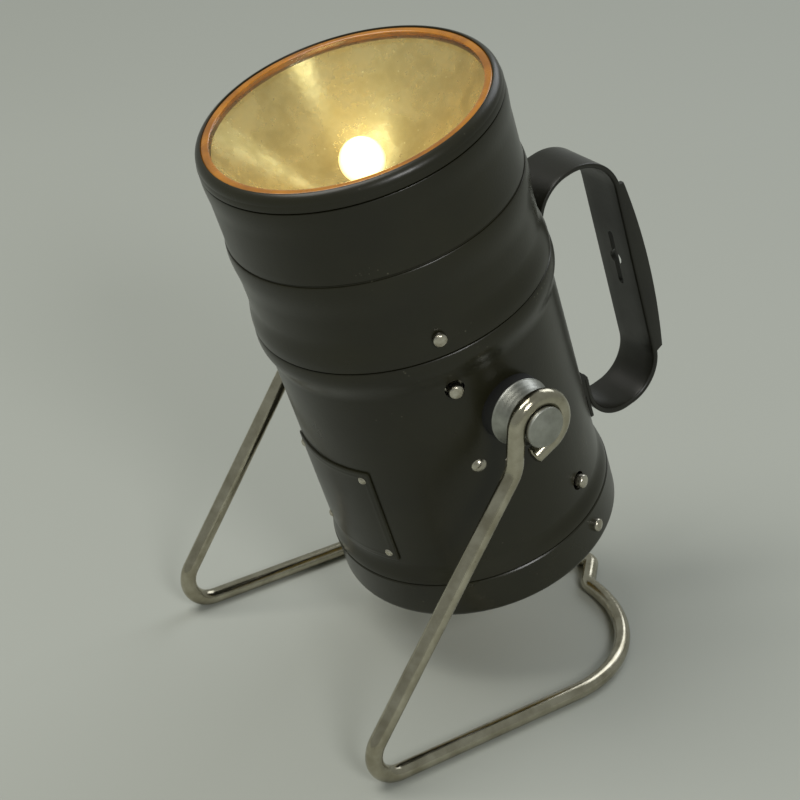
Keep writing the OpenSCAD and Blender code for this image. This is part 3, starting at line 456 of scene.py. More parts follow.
@dataclass(frozen=True)
class ClearGlass:
    """Pressed window glass that lets lamp light straight through, with a faint gloss.

    Attributes:
        name: The material's common name.
        tint: The sRGB hex colour of what passes through.
        gloss: Roughness of the reflection.
        ripple_mm: The size of its faint ripples in millimetres.
        depth_mm: The height of those ripples in millimetres.
    """

    name: str = "window_glass"
    tint: str = "F4F7F2"
    gloss: float = 0.03
    ripple_mm: float = 16.667
    depth_mm: float = 0.5

    def make(self) -> bpy.types.Material:
        """Builds clear glass that reflects more at a slant and casts almost no shadow.

        Returns:
            The finished material.
        """
        material, tree, place = blank_material(self.name)
        ripple = add_node(
            tree, "ShaderNodeTexNoise",
            {"Vector": place, "Scale": 1 / (self.ripple_mm * MM), "Detail": 2.0},
        ).outputs["Fac"]
        bump = add_node(
            tree, "ShaderNodeBump",
            {"Height": ripple, "Strength": 0.04, "Distance": self.depth_mm * MM},
        ).outputs["Normal"]
        see_through = add_node(
            tree, "ShaderNodeBsdfTransparent", {"Color": linear(self.tint)}
        ).outputs["BSDF"]
        shine = add_node(
            tree, "ShaderNodeBsdfGlossy",
            {"Color": (1, 1, 1, 1), "Roughness": self.gloss, "Normal": bump},
        ).outputs["BSDF"]
        slant = add_node(tree, "ShaderNodeLayerWeight", {"Blend": 0.5, "Normal": bump}).outputs["Facing"]
        # The fifth power of the slant follows how plain glass reflects, from 3% face on
        fifth = add_node(tree, "ShaderNodeMath", {0: slant, 1: 5.0}, operation="POWER").outputs[0]
        share = add_node(
            tree, "ShaderNodeMath", {0: fifth, 1: 0.9, 2: 0.03}, operation="MULTIPLY_ADD"
        ).outputs[0]
        both = add_node(tree, "ShaderNodeMixShader", {0: share, 1: see_through, 2: shine}).outputs["Shader"]
        add_node(tree, "ShaderNodeOutputMaterial", {"Surface": both})
        return material


@dataclass(frozen=True)
class Glow:
    """A surface that gives off its own light, hottest where it faces the viewer.

    Attributes:
        name: The material's common name.
        colour: The sRGB hex colour of its light.
        strength: Strength of that light face on.
        edge: Strength of that light at the outline.
        body: The sRGB hex colour of the surface itself.
        roughness: The surface's roughness.
        cloud_mm: The size of its faint clouds in millimetres.
    """

    name: str
    colour: str
    strength: float
    edge: float
    body: str
    roughness: float = 0.2
    cloud_mm: float = 11.111

    def make(self) -> bpy.types.Material:
        """Builds the glowing material.

        Returns:
            The finished material.
        """
        material, tree, place = blank_material(self.name)
        cloud = add_node(
            tree, "ShaderNodeTexNoise",
            {"Vector": place, "Scale": 1 / (self.cloud_mm * MM), "Detail": 4.0},
        ).outputs["Fac"]
        tint = add_node(
            tree, "ShaderNodeMix",
            {"Factor": cloud, 6: linear(self.body), 7: linear(self.colour)}, data_type="RGBA",
        ).outputs[2]
        slant = add_node(tree, "ShaderNodeLayerWeight", {"Blend": 0.4}).outputs["Facing"]
        power = add_node(
            tree, "ShaderNodeMapRange",
            {"Value": slant, "From Min": 0.15, "From Max": 0.85,
             "To Min": self.strength, "To Max": self.edge},
        ).outputs["Result"]
        shader = add_node(
            tree, "ShaderNodeBsdfPrincipled",
            {"Base Color": tint, "Roughness": self.roughness, "IOR": 1.5,
             "Emission Color": linear(self.colour), "Emission Strength": power},
        )
        add_node(tree, "ShaderNodeOutputMaterial", {"Surface": shader.outputs["BSDF"]})
        return material


# A lit filament bulb behind clear glass: a warm white ball that blooms.
LIT_BULB = Glow("lit_bulb_glass", colour="FFDF9C", strength=5.0, edge=0.75, body="FFF3D0")


def arc(cx: float, cz: float, r: float, a0: float, a1: float, n: int = 10) -> list[Point2]:
    """Points along an arc.

    Args:
        cx: Centre's first coordinate.
        cz: Centre's second coordinate.
        r: Radius.
        a0: First angle.
        a1: Last angle.
        n: Number of steps.

    Returns:
        The points.
    """
    turns = [math.radians(a0 + (a1 - a0) * i / n) for i in range(n + 1)]
    return [(cx + r * math.cos(a), cz + r * math.sin(a)) for a in turns]


def eased(start: Point2, end: Point2, n: int) -> list[Point2]:
    """Points along a soft S from one place of a profile to another, upright at both ends.

    Args:
        start: Radius and height where it starts.
        end: Radius and height where it ends.
        n: Number of steps.

    Returns:
        The points, with both ends.
    """
    (r0, z0), (r1, z1) = start, end
    return [
        (r0 + (r1 - r0) * (1 - math.cos(math.pi * i / n)) / 2, z0 + (z1 - z0) * i / n)
        for i in range(n + 1)
    ]


def swage(r: float, top: float, h: float, out: float, drop: float) -> list[Point2]:
    """A wall that swells softly upwards and ends in a round nose.

    Args:
        r: Radius of the wall.
        top: Height where the nose ends.
        h: Height of the swell with its nose.
        out: How far it stands out.
        drop: How far the nose falls back at its top.

    Returns:
        Points of the profile.
    """
    crown_z = top - h * (1 - CROWN)
    nose = [math.radians(a) for a in range(15, 90, 12)]
    return eased((r, top - h), (r + out, crown_z), SWELL_STEPS) + [
        (r + out - drop * (1 - math.cos(a)), crown_z + (top - crown_z) * math.sin(a)) for a in nose
    ]


def smooth(mesh: bpy.types.Mesh, crease: float) -> None:
    """Shades a mesh smooth, with its crisp edges kept.

    Args:
        mesh: The mesh.
        crease: Angle over which an edge stays sharp.
    """
    for polygon in mesh.polygons:
        polygon.use_smooth = True
    mesh.set_sharp_from_angle(angle=math.radians(crease))


def place_mesh(
    name: str, bm: bmesh.types.BMesh, frame: Matrix = LAMP_FRAME, crease: float = CREASE
) -> bpy.types.Object:
    """Turns a bmesh into an object in the scene.

    Args:
        name: The piece's name.
        bm: The mesh, in the frame's own millimetres.
        frame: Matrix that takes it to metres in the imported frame.
        crease: Angle over which an edge stays sharp.

    Returns:
        The object.
    """
    bmesh.ops.recalc_face_normals(bm, faces=bm.faces)
    bm.transform(frame)
    mesh = bpy.data.meshes.new(name)
    bm.to_mesh(mesh)
    bm.free()
    smooth(mesh, crease)
    piece = bpy.data.objects.new(name, mesh)
    bpy.context.collection.objects.link(piece)
    return piece


def lathe(
    bm: bmesh.types.BMesh, profile: list[Point2], turn: Matrix | None = None, segments: int = FINE
) -> None:
    """Turns a closed profile about the Z axis and adds it to a mesh.

    Args:
        bm: The mesh that receives the ring.
        profile: Radius and height of each point, round the section.
        turn: Matrix for the finished ring, or None.
        segments: Number of steps round the axis.
    """
    turns = [2 * math.pi * k / segments for k in range(segments)]
    rings: list[list[bmesh.types.BMVert]] = []
    for r, z in profile:
        # A point on the axis is one vertex, not a ring
        if r < 1e-6:
            rings.append([bm.verts.new((0, 0, z))])
        else:
            rings.append([bm.verts.new((r * math.cos(a), r * math.sin(a), z)) for a in turns])
    for low, high in zip(rings, rings[1:] + rings[:1]):
        if len(low) == 1 and len(high) == 1:
            continue
        for k in range(segments):
            j = (k + 1) % segments
            if len(low) == 1:
                bm.faces.new((low[0], high[j], high[k]))
            elif len(high) == 1:
                bm.faces.new((low[k], low[j], high[0]))
            else:
                bm.faces.new((low[k], low[j], high[j], high[k]))
    if turn is not None:
        bmesh.ops.transform(bm, matrix=turn, verts=[v for ring in rings for v in ring])


def bridge(
    bm: bmesh.types.BMesh, low: list[bmesh.types.BMVert], high: list[bmesh.types.BMVert]
) -> list[bmesh.types.BMFace]:
    """Joins two rings of as many points with a belt of faces.

    Args:
        bm: The mesh.
        low: The first ring.
        high: The second ring.

    Returns:
        The faces, in the order of the rings' points.
    """
    count = len(low)
    return [
        bm.faces.new((low[k], low[(k + 1) % count], high[(k + 1) % count], high[k])) for k in range(count)
    ]


def outwards(angle: float, height: float, distance: float = 0.0) -> Matrix:
    """A matrix that turns +Z outwards from the lamp's wall.

    Args:
        angle: Angle round the lamp from +X.
        height: Height above the pivot.
        distance: Distance from the axis.

    Returns:
        The matrix, in lamp millimetres.
    """
    return (
        Matrix.Translation((0, 0, height)) @ Matrix.Rotation(math.radians(angle), 4, "Z")
        @ Matrix.Rotation(math.pi / 2, 4, "Y") @ Matrix.Translation((0, 0, distance))
    )


def cut(piece: bpy.types.Object, cutters: list[bpy.types.Object]) -> None:
    """Cuts holes in a piece and throws the cutters away.

    Args:
        piece: The piece to cut.
        cutters: Closed meshes to take away.
    """
    for cutter in cutters:
        step = piece.modifiers.new("cut", "BOOLEAN")
        step.operation = "DIFFERENCE"
        step.solver = "EXACT"
        step.object = cutter
        with bpy.context.temp_override(object=piece, active_object=piece):
            bpy.ops.object.modifier_apply(modifier=step.name)
        bpy.data.objects.remove(cutter, do_unlink=True)
    smooth(piece.data, CREASE)


def bar(name: str, r: float, length: float, turn: Matrix) -> bpy.types.Object:
    """A plain round bar, used as a cutter.

    Args:
        name: Name of the object.
        r: Radius.
        length: Length along Z.
        turn: Matrix in lamp millimetres.

    Returns:
        The object.
    """
    bm = bmesh.new()
    lathe(bm, [(0, 0), (r, 0), (r, length), (0, length)], turn, segments=40)
    return place_mesh(name, bm)


def block(name: str, size: tuple[float, float, float], turn: Matrix) -> bpy.types.Object:
    """A plain block centred on its own origin, used as a cutter.

    Args:
        name: Name of the object.
        size: Size along X, Y and Z.
        turn: Matrix in lamp millimetres.

    Returns:
        The object.
    """
    bm = bmesh.new()
    bmesh.ops.create_cube(bm, size=1.0, matrix=turn @ Matrix.Diagonal((*size, 1.0)))
    return place_mesh(name, bm)


def dress(
    piece: bpy.types.Object, material: bpy.types.Material, body: Body, slot: str, *nodes: str
) -> bpy.types.Object:
    """Gives a piece its material and body, and hides the CAD nodes that it stands for.

    Args:
        piece: The piece.
        material: Its material.
        body: The body that it rides on.
        slot: Not used.
        *nodes: CAD nodes that it replaces.

    Returns:
        The piece.
    """
    piece.data.materials.clear()
    piece.data.materials.append(material)
    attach(piece, body.value)
    if nodes:
        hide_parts(*nodes)
    LOG.info("%s rides on %s", piece.name, body.value)
    return piece


@dataclass
class WireStand:
    """One bent wire: eye, leg, front corner, floor bar, rear corner, kink, and back again."""

    leg_x: float = 63.5
    eye_r: float = 9.27
    tail_angle: float = -59.0
    tail: float = 7.0
    lean: float = 32.2
    knee_r: float = 12.0
    corner_r: float = 11.0
    rear_r: float = 48.5
    rear_y: float = 70.5
    kink: float = 45.0
    kink_bend_r: float = 6.0
    tip_r: float = 4.0
    sides: int = 28
    longest_step: float = 2.4
    end_share: float = 0.72
    end_h: float = 0.6

    def leg(self) -> list[Vector]:
        """Walks the eye, the leg and the front corner, which lie in one upright plane.

        Returns:
            Points in the stand's millimetres.
        """
        drop = PIVOT_Z - WIRE_R
        lean = math.radians(self.lean)
        knee_z = -self.eye_r / math.tan(lean) + self.knee_r * math.tan(lean / 2)
        corner_y = -drop * math.tan(lean) + self.corner_r * math.tan((math.pi / 2 + lean) / 2)
        a = math.radians(self.tail_angle)
        start_y, start_z = self.eye_r * math.cos(a), self.eye_r * math.sin(a)
        # The straight tail, from the cut end to the eye
        flat = [
            (start_y + math.sin(a) * self.tail * t, start_z - math.cos(a) * self.tail * t)
            for t in (1.0, 0.66, 0.33)
        ]
        flat += arc(0, 0, self.eye_r, self.tail_angle, 180, 60)
        flat += arc(-self.eye_r - self.knee_r, knee_z, self.knee_r, 0, -self.lean, 14)
        flat += arc(corner_y, self.corner_r - drop, self.corner_r, 180 - self.lean, 270, 30)
        return [Vector((self.leg_x, y, z)) for y, z in flat]

    def floor_bar(self) -> list[Vector]:
        """Walks the rear corner and half of the kink, which lie on the floor.

        Returns:
            Points in the stand's millimetres.
        """
        mid_x, mid_y = self.leg_x - self.rear_r, self.rear_y - self.rear_r
        flat = arc(mid_x, mid_y, self.rear_r, 0, 90, 60)
        bend_y = self.rear_y + self.kink_bend_r
        flat += arc(mid_x, bend_y, self.kink_bend_r, -90, -90 - self.kink, 12)[1:]
        k = math.radians(self.kink)
        foot_x, foot_y = flat[-1]
        run = (foot_x - self.tip_r * math.sin(k)) / math.cos(k)
        tip_y = foot_y + run * math.sin(k) - self.tip_r * math.cos(k)
        flat += arc(0, tip_y, self.tip_r, 90 - self.kink, 90, 8)
        return [Vector((x, y, WIRE_R - PIVOT_Z)) for x, y in flat]

    def path(self) -> list[Vector]:
        """Joins both halves into the wire's centre line, with no step too long.

        Returns:
            Points in the stand's millimetres, from cut end to cut end.
        """
        half = self.leg() + self.floor_bar()
        points = half + [Vector((-p.x, p.y, p.z)) for p in reversed(half[:-1])]
        out = [points[0]]
        for a, b in zip(points, points[1:]):
            gap = (b - a).length
            if gap < 1e-4:
                continue
            n = max(1, math.ceil(gap / self.longest_step))
            out.extend(a.lerp(b, i / n) for i in range(1, n + 1))
        return out

    def build(self) -> None:
        """Sweeps the wire, lays its texture's coordinates along it and dresses it."""
        bm = bmesh.new()
        layer = bm.loops.layers.uv.new("wire")
        path = self.path()
        last = len(path) - 1
        tangents = [(path[min(i + 1, last)] - path[max(i - 1, 0)]).normalized() for i in range(last + 1)]
        turns = [2 * math.pi * k / self.sides for k in range(self.sides)]
        side = tangents[0].orthogonal().normalized()
        rings: list[list[bmesh.types.BMVert]] = []
        for p, t in zip(path, tangents):
            # Each ring's first side is the last one's, turned as little as the bend needs
            side = (side - t * side.dot(t)).normalized()
            other = t.cross(side)
            rings.append([
                bm.verts.new(p + WIRE_R * (math.cos(a) * side + math.sin(a) * other)) for a in turns
            ])
        travelled = 0.0
        for i in range(last):
            reach = travelled + (path[i + 1] - path[i]).length
            for k, face in enumerate(bridge(bm, rings[i], rings[i + 1])):
                uv = [(travelled, k), (travelled, k + 1), (reach, k + 1), (reach, k)]
                for loop, (u, v) in zip(face.loops, uv):
                    loop[layer].uv = (u / WIRE_UV, v / self.sides)
            travelled = reach
        for ring, point, way in ((rings[0], path[0], -tangents[0]), (rings[-1], path[-1], tangents[-1])):
            inner = [bm.verts.new(point + (v.co - point) * self.end_share + way * self.end_h) for v in ring]
            bridge(bm, ring, inner)
            bm.faces.new(inner)
        piece = place_mesh("wire_stand", bm, STAND_FRAME, crease=40)
        dress(piece, NICKEL_WIRE.make(), Body.STAND, "wire", "stand")


@dataclass
class Drum:
    """The enamelled shells: case, head, bezel and bottom cap."""

    sheet: float = 1.0
    top: float = 32.7
    bottom: float = -63.4
    bead_h: float = 13.2
    bead_out: float = 2.3
    bead_drop: float = 0.7
    foot_h: float = 8.0
    foot_out: float = 1.8
    hole_r: float = 3.4
    hole_depth: float = 9.0
    hole_start: float = 4.0
    head_z: float = 33.0
    head_r: float = 50.6
    head_drawn: float = 0.4
    flare_r: float = 51.7
    flare_low: float = 1.8
    flare_h: float = 12.0
    edge_w: float = 0.35
    edge_h: float = 0.4
    collar_r: float = 48.5
    collar_in_r: float = 47.5
    collar_h: float = 8.0
    line_z: float = 67.3
    slot_size: tuple[float, float, float] = (9.0, 4.6, 14.0)
    slot_drop: float = 14.9
    bezel_z: float = 94.5
    bezel_gap: float = 0.4
    bezel_r: float = 50.2
    edge_r: float = 50.5
    bezel_fall: float = 3.2
    skirt_r: float = 49.5
    skirt_in_r: float = 48.55
    skirt_h: float = 5.0
    cap_z: float = -63.7
    cap_r: float = 51.9
    cap_round: float = 2.6
    base_z: float = -79.7
    base_recess: float = 0.95
    base_t: float = 1.9

    def case(self) -> None:
        """Builds the case tube with its swell, flared foot and latch holes."""
        foot_r = CASE_R + self.foot_out
        foot = eased((foot_r, self.bottom), (CASE_R, self.bottom + self.foot_h), 20)
        # The foot's lowest edge is rounded
        foot[0] = (foot_r, self.bottom + 0.2)
        outer = [(foot_r - 0.25, self.bottom)] + foot
        outer += swage(CASE_R, self.top, self.bead_h, self.bead_out, self.bead_drop)
        bm = bmesh.new()
        lathe(bm, outer + [(r - self.sheet, z) for r, z in reversed(outer)])
        shell = place_mesh("case_tube", bm)
        start = CASE_R - self.hole_start
        cut(shell, [
            bar("hole", self.hole_r, self.hole_depth, outwards(angle + turn, height, start))
            for angle, height in (HEAD_LATCH, CAP_LATCH) for turn in SIDES
        ])
        dress(shell, OLIVE_ENAMEL.make(), Body.CASE, "enamel", "case_shell")

    def head(self) -> None:
        """Builds the head with its flared foot, groove, swells and collar."""
        low, r, line = self.head_z, self.head_r, self.line_z
        drawn_r = r - self.head_drawn
        rim = self.bezel_z - self.bezel_gap
        outer = [(self.flare_r - self.edge_w, low), (self.flare_r, low + self.edge_h)]
        outer += eased((self.flare_r, low + self.flare_low), (drawn_r, low + self.flare_h), 12)
        outer += swage(drawn_r, line - 0.6, 14.4, 0.85, 0.5)
        # The groove in the middle, and the lip above it
        outer += [(r - 0.5, line - 0.55), (r - 0.6, line - 0.3), (r - 0.5, line)]
        outer += [(r - 0.25, line + 0.15), (r - 0.2, line + 0.5), (drawn_r, line + 3.0)]
        outer += swage(drawn_r, rim, 10.6, 0.4, 0.3) + [(r - 0.3, rim)]
        # Inside, the flare turns in to the collar that enters the case
        lip = low + 1.0
        inner = [(r - self.sheet, rim), (r - self.sheet, low + self.flare_h)]
        inner += [(self.flare_r - 1.2, low + 2.2), (self.flare_r - 1.5, lip), (self.collar_in_r, lip)]
        inner += [(self.collar_in_r, low - self.collar_h), (self.collar_r, low - self.collar_h)]
        inner += [(self.collar_r, low)]
        bm = bmesh.new()
        lathe(bm, outer + inner)
        shell = place_mesh("head_drum", bm)
        cut(shell, [block("slot", self.slot_size, outwards(90, line - self.slot_drop, r))])
        dress(shell, OLIVE_ENAMEL.make(), Body.CASE, "enamel", "head_shell")

    def bezel(self) -> None:
        """Builds the bezel, rolled at its edge and turned in over the lens."""
        low, skirt_z = self.bezel_z, self.bezel_z - self.skirt_h
        section = [(self.edge_r - 0.3, low), (self.edge_r, low + 0.3), (self.edge_r, low + 1.2)]
        section += [(self.bezel_r + 0.15, low + 1.9), (self.bezel_r, low + 2.4)]
        # The curve from wall to lip has the radius that its width and its fall give
        inward = self.bezel_r - LIP_R - 0.3
        sweep = (inward**2 + self.bezel_fall**2) / (2 * inward)
        end = math.degrees(math.asin(self.bezel_fall / sweep)) - 1
        section += arc(self.bezel_r - sweep, RIM_Z - self.bezel_fall, sweep, 0, end, 20)
        section += [(LIP_R + 0.12, RIM_Z - 0.03), (LIP_R, RIM_Z - 0.3), (LIP_R, SEAT_Z)]
        section += [(self.skirt_in_r, SEAT_Z), (self.skirt_in_r, skirt_z), (self.skirt_r, skirt_z)]
        section += [(self.skirt_r, low)]
        bm = bmesh.new()
        lathe(bm, section)
        dress(place_mesh("bezel_ring", bm), OLIVE_ENAMEL.make(), Body.CASE, "enamel", "bezel")

    def cap(self) -> None:
        """Builds the bottom cap with its rounded edge, and lacquers its recessed base."""
        r, z, low = self.cap_r, self.cap_z, self.base_z
        recess = low + self.base_recess
        outer = [(r - self.edge_w, z), (r, z - self.edge_h), (r, low + self.cap_round + 0.6)]
        outer += arc(r - self.cap_round, low + self.cap_round, self.cap_round, 0, -90, 12)
        outer += [(r - 5.4, low), (r - 6.4, low + 0.5), (r - 6.8, recess), (0, recess)]
        inner = [(0, low + self.base_t), (r - 4, low + self.base_t)]
        inner += arc(r - self.cap_round, low + self.base_t + 1.5, 1.5, -90, 0, 8)
        inner += [(r - 1.1, z - 1.2), (self.collar_in_r, z - 1.2), (self.collar_in_r, z + self.collar_h)]
        inner += [(self.collar_r, z + self.collar_h), (self.collar_r, z)]
        bm = bmesh.new()
        lathe(bm, outer + inner)
        shell = place_mesh("bottom_cap_shell", bm)
        dress(shell, OLIVE_ENAMEL.make(), Body.CASE, "enamel", "bottom_cap")
        shell.data.materials.append(GOLD_LACQUER.make())
        down = (LAMP_FRAME.to_3x3() @ Vector((0, 0, -1))).normalized()
        centre = LAMP_FRAME @ Vector((0, 0, low))
        for polygon in shell.data.polygons:
            middle = polygon.center - centre
            depth = middle.dot(down)
            if polygon.normal.dot(down) > 0.9 and (middle - down * depth).length < (r - 6.6) * MM:
                polygon.material_index = 1

    def build(self) -> None:
        """Builds every shell."""
        self.case()
        self.head()
        self.bezel()
        self.cap()


@dataclass
class Optics:
    """Lens, amber ring, reflector and lit bulb."""

    open_r: float = 45.0
    lens_z: float = 99.4
    lens_t: float = 2.0
    lens_lap: float = 1.5
    focus: float = 16.0
    ring_sink: float = 0.2
    hole_r: float = 8.0
    bulb_r: float = 7.6
    bulb_drop: float = 1.8
    neck_r: float = 4.1
    skirt_r: float = 48.4
    skirt_t: float = 0.8
    light_power: float = 0.055
    light_colour: str = "FFD88A"
    light_r: float = 8.0
    light_rise: float = 2.5

    def lens(self) -> None:
        """Builds the flat lens with a ground edge."""
        r, high, edge = self.open_r + self.lens_lap, self.lens_z, 0.3
        low = high - self.lens_t
        section = [(0, low), (r - edge, low), (r, low + edge), (r, high - edge), (r - edge, high), (0, high)]
        bm = bmesh.new()
        lathe(bm, section)
        dress(place_mesh("lens_glass", bm), ClearGlass().make(), Body.CASE, "glass", "lens")

    def ring(self) -> None:
        """Builds the rounded amber ring that beds the lens."""
        outer, foot = LIP_R - 0.05, SEAT_Z + 0.05
        lens_r = self.open_r + self.lens_lap + 0.06
        low = self.lens_z + 0.02
        half = (outer - self.open_r) / 2
        rise = RIM_Z - self.ring_sink - low
        section = [(self.open_r + half + x * half, low + z * rise) for x, z in arc(0, 0, 1, 180, 0, 18)]
        section += [(outer, foot), (lens_r, foot), (lens_r, low)]
        bm = bmesh.new()
        lathe(bm, section)
        dress(place_mesh("amber_bedding", bm), AMBER.make(), Body.CASE, "amber", "amber_ring")

    def reflector(self) -> None:
        """Builds the spun parabola with its rim."""
        low, under = SEAT_Z - self.open_r**2 / (4 * self.focus), SEAT_Z - self.skirt_t
        steps = 48
        radii = [self.hole_r + (self.open_r - self.hole_r) * i / steps for i in range(steps + 1)]
        face = [(r, low + r * r / (4 * self.focus)) for r in radii]
        rim = [(self.skirt_r, SEAT_Z), (self.skirt_r, under), (self.open_r + 0.8, under)]
        back = [(r + 0.7, z - 0.35) for r, z in reversed(face[:-1])]
        bm = bmesh.new()
        lathe(bm, face + rim + back)
        piece = place_mesh("reflector_bowl", bm)
        dress(piece, REFLECTOR_SILVER.make(), Body.CASE, "silvered", "reflector")

    def bulb(self) -> None:
        """Builds the bulb's globe and neck, and the light that it gives."""
        centre = SEAT_Z - self.open_r**2 / (4 * self.focus) + self.focus - self.bulb_drop
        neck = centre - self.bulb_r + 0.6
        section = [(0, neck), (self.neck_r, neck)]
        section += arc(0, centre, self.bulb_r, -54, 90, 24)[:-1] + [(0, centre + self.bulb_r)]
        bm = bmesh.new()
        lathe(bm, section, segments=48)
        globe = place_mesh("bulb_globe", bm)
        dress(globe, LIT_BULB.make(), Body.CASE, "glass", "bulb_glass")
        light = bpy.data.lights.new("bulb_light", "POINT")
        light.energy = self.light_power
        light.color = linear(self.light_colour)[:3]
        light.shadow_soft_size = self.light_r * MM
        holder = bpy.data.objects.new("bulb_light", light)
        holder.location = LAMP_FRAME @ Vector((0, 0, centre + self.bulb_r + self.light_rise))
        # The light hangs on the globe, so that it tilts with the lamp
        holder.parent = globe
        bpy.context.collection.objects.link(holder)

    def build(self) -> None:
        """Builds the optics."""
        self.lens()
        self.ring()
        self.reflector()
        self.bulb()


@dataclass
class Fittings:
    """Pivot studs, latch studs, rivets and the name plate."""

    tail_x: float = 44.0
    tail_r: float = 4.0
    seat_x: float = 47.2
    boss_r: float = 11.7
    boss_x: float = 54.3
    cone_r: float = 9.2
    cone_x: float = 60.3
    groove_r: float = 6.2
    head_x: float = 65.75
    head_r: float = 7.2
    head_end: float = 67.95
    pale_rim: float = 0.6
    stud_tip: float = 52.4
    stud_r: float = 2.5
    flange_r: float = 3.6
    flange_t: float = 0.6
    flange_x: float = 46.72
    plate_angle: float = -87.2
    plate_w: float = 41.2
    plate_h: float = 41.6
    plate_t: float = 0.8
    plate_z: float = -33.1
    plate_corner: float = 1.2
    pin_angle: float = 19.75
    pin_z: float = 17.2

    def pivots(self) -> None:
        """Builds the two turned pivot studs, with their feet coloured black."""
        edge = 0.5
        section = [(0, self.tail_x), (self.tail_r, self.tail_x), (self.tail_r, self.seat_x)]
        section += [(self.boss_r - edge, self.seat_x), (self.boss_r, self.seat_x + edge)]
        section += [(self.boss_r, self.boss_x - edge)]
        section += arc(self.boss_r - edge, self.boss_x - edge, edge, 0, 60, 4)
        section += [(self.cone_r + 0.35, self.cone_x - 0.8)]
        section += arc(self.cone_r - 0.1, self.cone_x - edge, edge, 20, 90, 4)
        section += [(self.groove_r, self.cone_x), (self.groove_r, self.head_x)]
        section += [(self.head_r - 0.2, self.head_x)]
        section += arc(self.head_r - edge, self.head_x + edge, edge, -50, 0, 4)
        section += arc(self.head_r - 0.9, self.head_end - 1.3, 0.9, 0, 60, 6)
        section += [(2.2, self.head_end - 0.15), (1.9, self.head_end), (0, self.head_end)]
        bm = bmesh.new()
        for side in SIDES:
            lathe(bm, section, outwards(side, 0), 96)
        piece = place_mesh("turned_pivots", bm, crease=28)
        dress(piece, TURNED_ALUMINIUM.make(), Body.CASE, "turned", "pivot_studs")
        piece.data.materials.append(BLACK_RUBBER.make())
        # Every face of the studs below the boss's pale rim is coloured black
        for polygon in piece.data.polygons:
            if abs(polygon.center.x) < (self.boss_x - self.pale_rim) * MM:
                polygon.material_index = 1

    @staticmethod
    def dome(r: float, h: float, stem_r: float, stem: float) -> list[Point2]:
        """A domed rivet head on a stem, standing on height 0.

        Args:
            r: Radius of the head.
            h: Height of the head.
            stem_r: Radius of the stem.
            stem: Length of the stem below the head.

        Returns:
            The closed section.
        """
        ball = (r * r + h * h) / (2 * h)
        first = math.degrees(math.asin(min(1.0, (ball - h) / ball)))
        foot = [(0, -stem), (stem_r, -stem), (stem_r, -0.02), (r - 0.1, -0.02)]
        return foot + arc(0, h - ball, ball, first, 90, 12)[:-1] + [(0, h)]

    @staticmethod
    def round_head(r: float, h: float, edge: float, stem_r: float, stem: float) -> list[Point2]:
        """A cylindrical head with a rounded edge on a stem, standing on height 0.

        Args:
            r: Radius of the head.
            h: Height of the head.
            edge: Radius of the rounded edge.
            stem_r: Radius of the stem.
            stem: Length of the stem below the head.

        Returns:
            The closed section.
        """
        foot = [(0, -stem), (stem_r, -stem), (stem_r, 0), (r, 0), (r, h - edge)]
        return foot + arc(r - edge, h - edge, edge, 0, 78, 8) + [(0, h + 0.12)]

    def rivets(self) -> None:
        """Builds the guide, latch and name plate rivets."""
        guide = self.dome(2.65, 1.45, 1.6, 2.9)
        latch = self.round_head(2.4, 1.9, 1.0, 1.5, 6.6)
        # Each stands in line with a latch stud: on the case's wall, the head's flare and the cap
        for name, node, angle, height, distance, section in (
            ("domed_guide_rivets", "guide_rivets", HEAD_LATCH[0], -15.6, 49.75, guide),
            ("head_latch_rivets", "head_rivets", HEAD_LATCH[0], 39.7, 51.35, latch),
            ("cap_latch_rivets", "cap_rivets", CAP_LATCH[0], -70.6, 51.9, latch),
        ):
            bm = bmesh.new()
            for turn in SIDES:
                lathe(bm, section, outwards(angle + turn, height, distance), 36)
            dress(place_mesh(name, bm), NICKEL_RIVET.make(), Body.CASE, "rivet_steel", node)
        pin = self.dome(1.55, 0.85, 0.9, 1.7)
        bm = bmesh.new()
        for angle in (-self.pin_angle, self.pin_angle):
            for height in (-self.pin_z, self.pin_z):
                turn = outwards(self.plate_angle + angle, self.plate_z + height, CASE_R + self.plate_t)
                lathe(bm, pin, turn, 28)
        piece = place_mesh("plate_pins", bm)
        dress(piece, NICKEL_RIVET.make(), Body.CASE, "rivet_steel", "name_plate_rivets")

    def studs(self) -> None:
        """Builds the four snap studs on their flanges."""
        reach, edge = self.stud_tip - self.flange_x, 0.9
        section = [(0, 0), (self.flange_r, 0), (self.flange_r, self.flange_t)]
        section += [(self.stud_r, self.flange_t), (self.stud_r, reach - edge)]
        section += arc(self.stud_r - edge, reach - edge, edge, 0, 78, 8) + [(0, reach + 0.1)]
        for name, node, body, (angle, height), turn in (
            ("snap_stud_head_near", "head_stud_near", Body.HEAD_NEAR, HEAD_LATCH, 0),
            ("snap_stud_head_far", "head_stud_far", Body.HEAD_FAR, HEAD_LATCH, 180),
            ("snap_stud_cap_near", "cap_stud_near", Body.CAP_NEAR, CAP_LATCH, 0),
            ("snap_stud_cap_far", "cap_stud_far", Body.CAP_FAR, CAP_LATCH, 180),
        ):
            bm = bmesh.new()
            lathe(bm, section, outwards(angle + turn, height, self.flange_x), 40)
            dress(place_mesh(name, bm), NICKEL_RIVET.make(), body, "rivet_steel", node)

    @staticmethod
    def graded(half: float) -> list[float]:
        """Positions across the plate, closer together near its edges.

        Args:
            half: Half of the plate's size.

        Returns:
            Positions from -half to half.
        """
        ends = [0.0, 0.1, 0.25, 0.45, 0.7, 1.0, 1.4, 1.8, 2.2, 2.6, 3.0, 3.5]
        inner = [(half - ends[-1]) * (2 * i / 36 - 1) for i in range(1, 36)]
        return [-half + e for e in ends] + inner + [half - e for e in reversed(ends)]

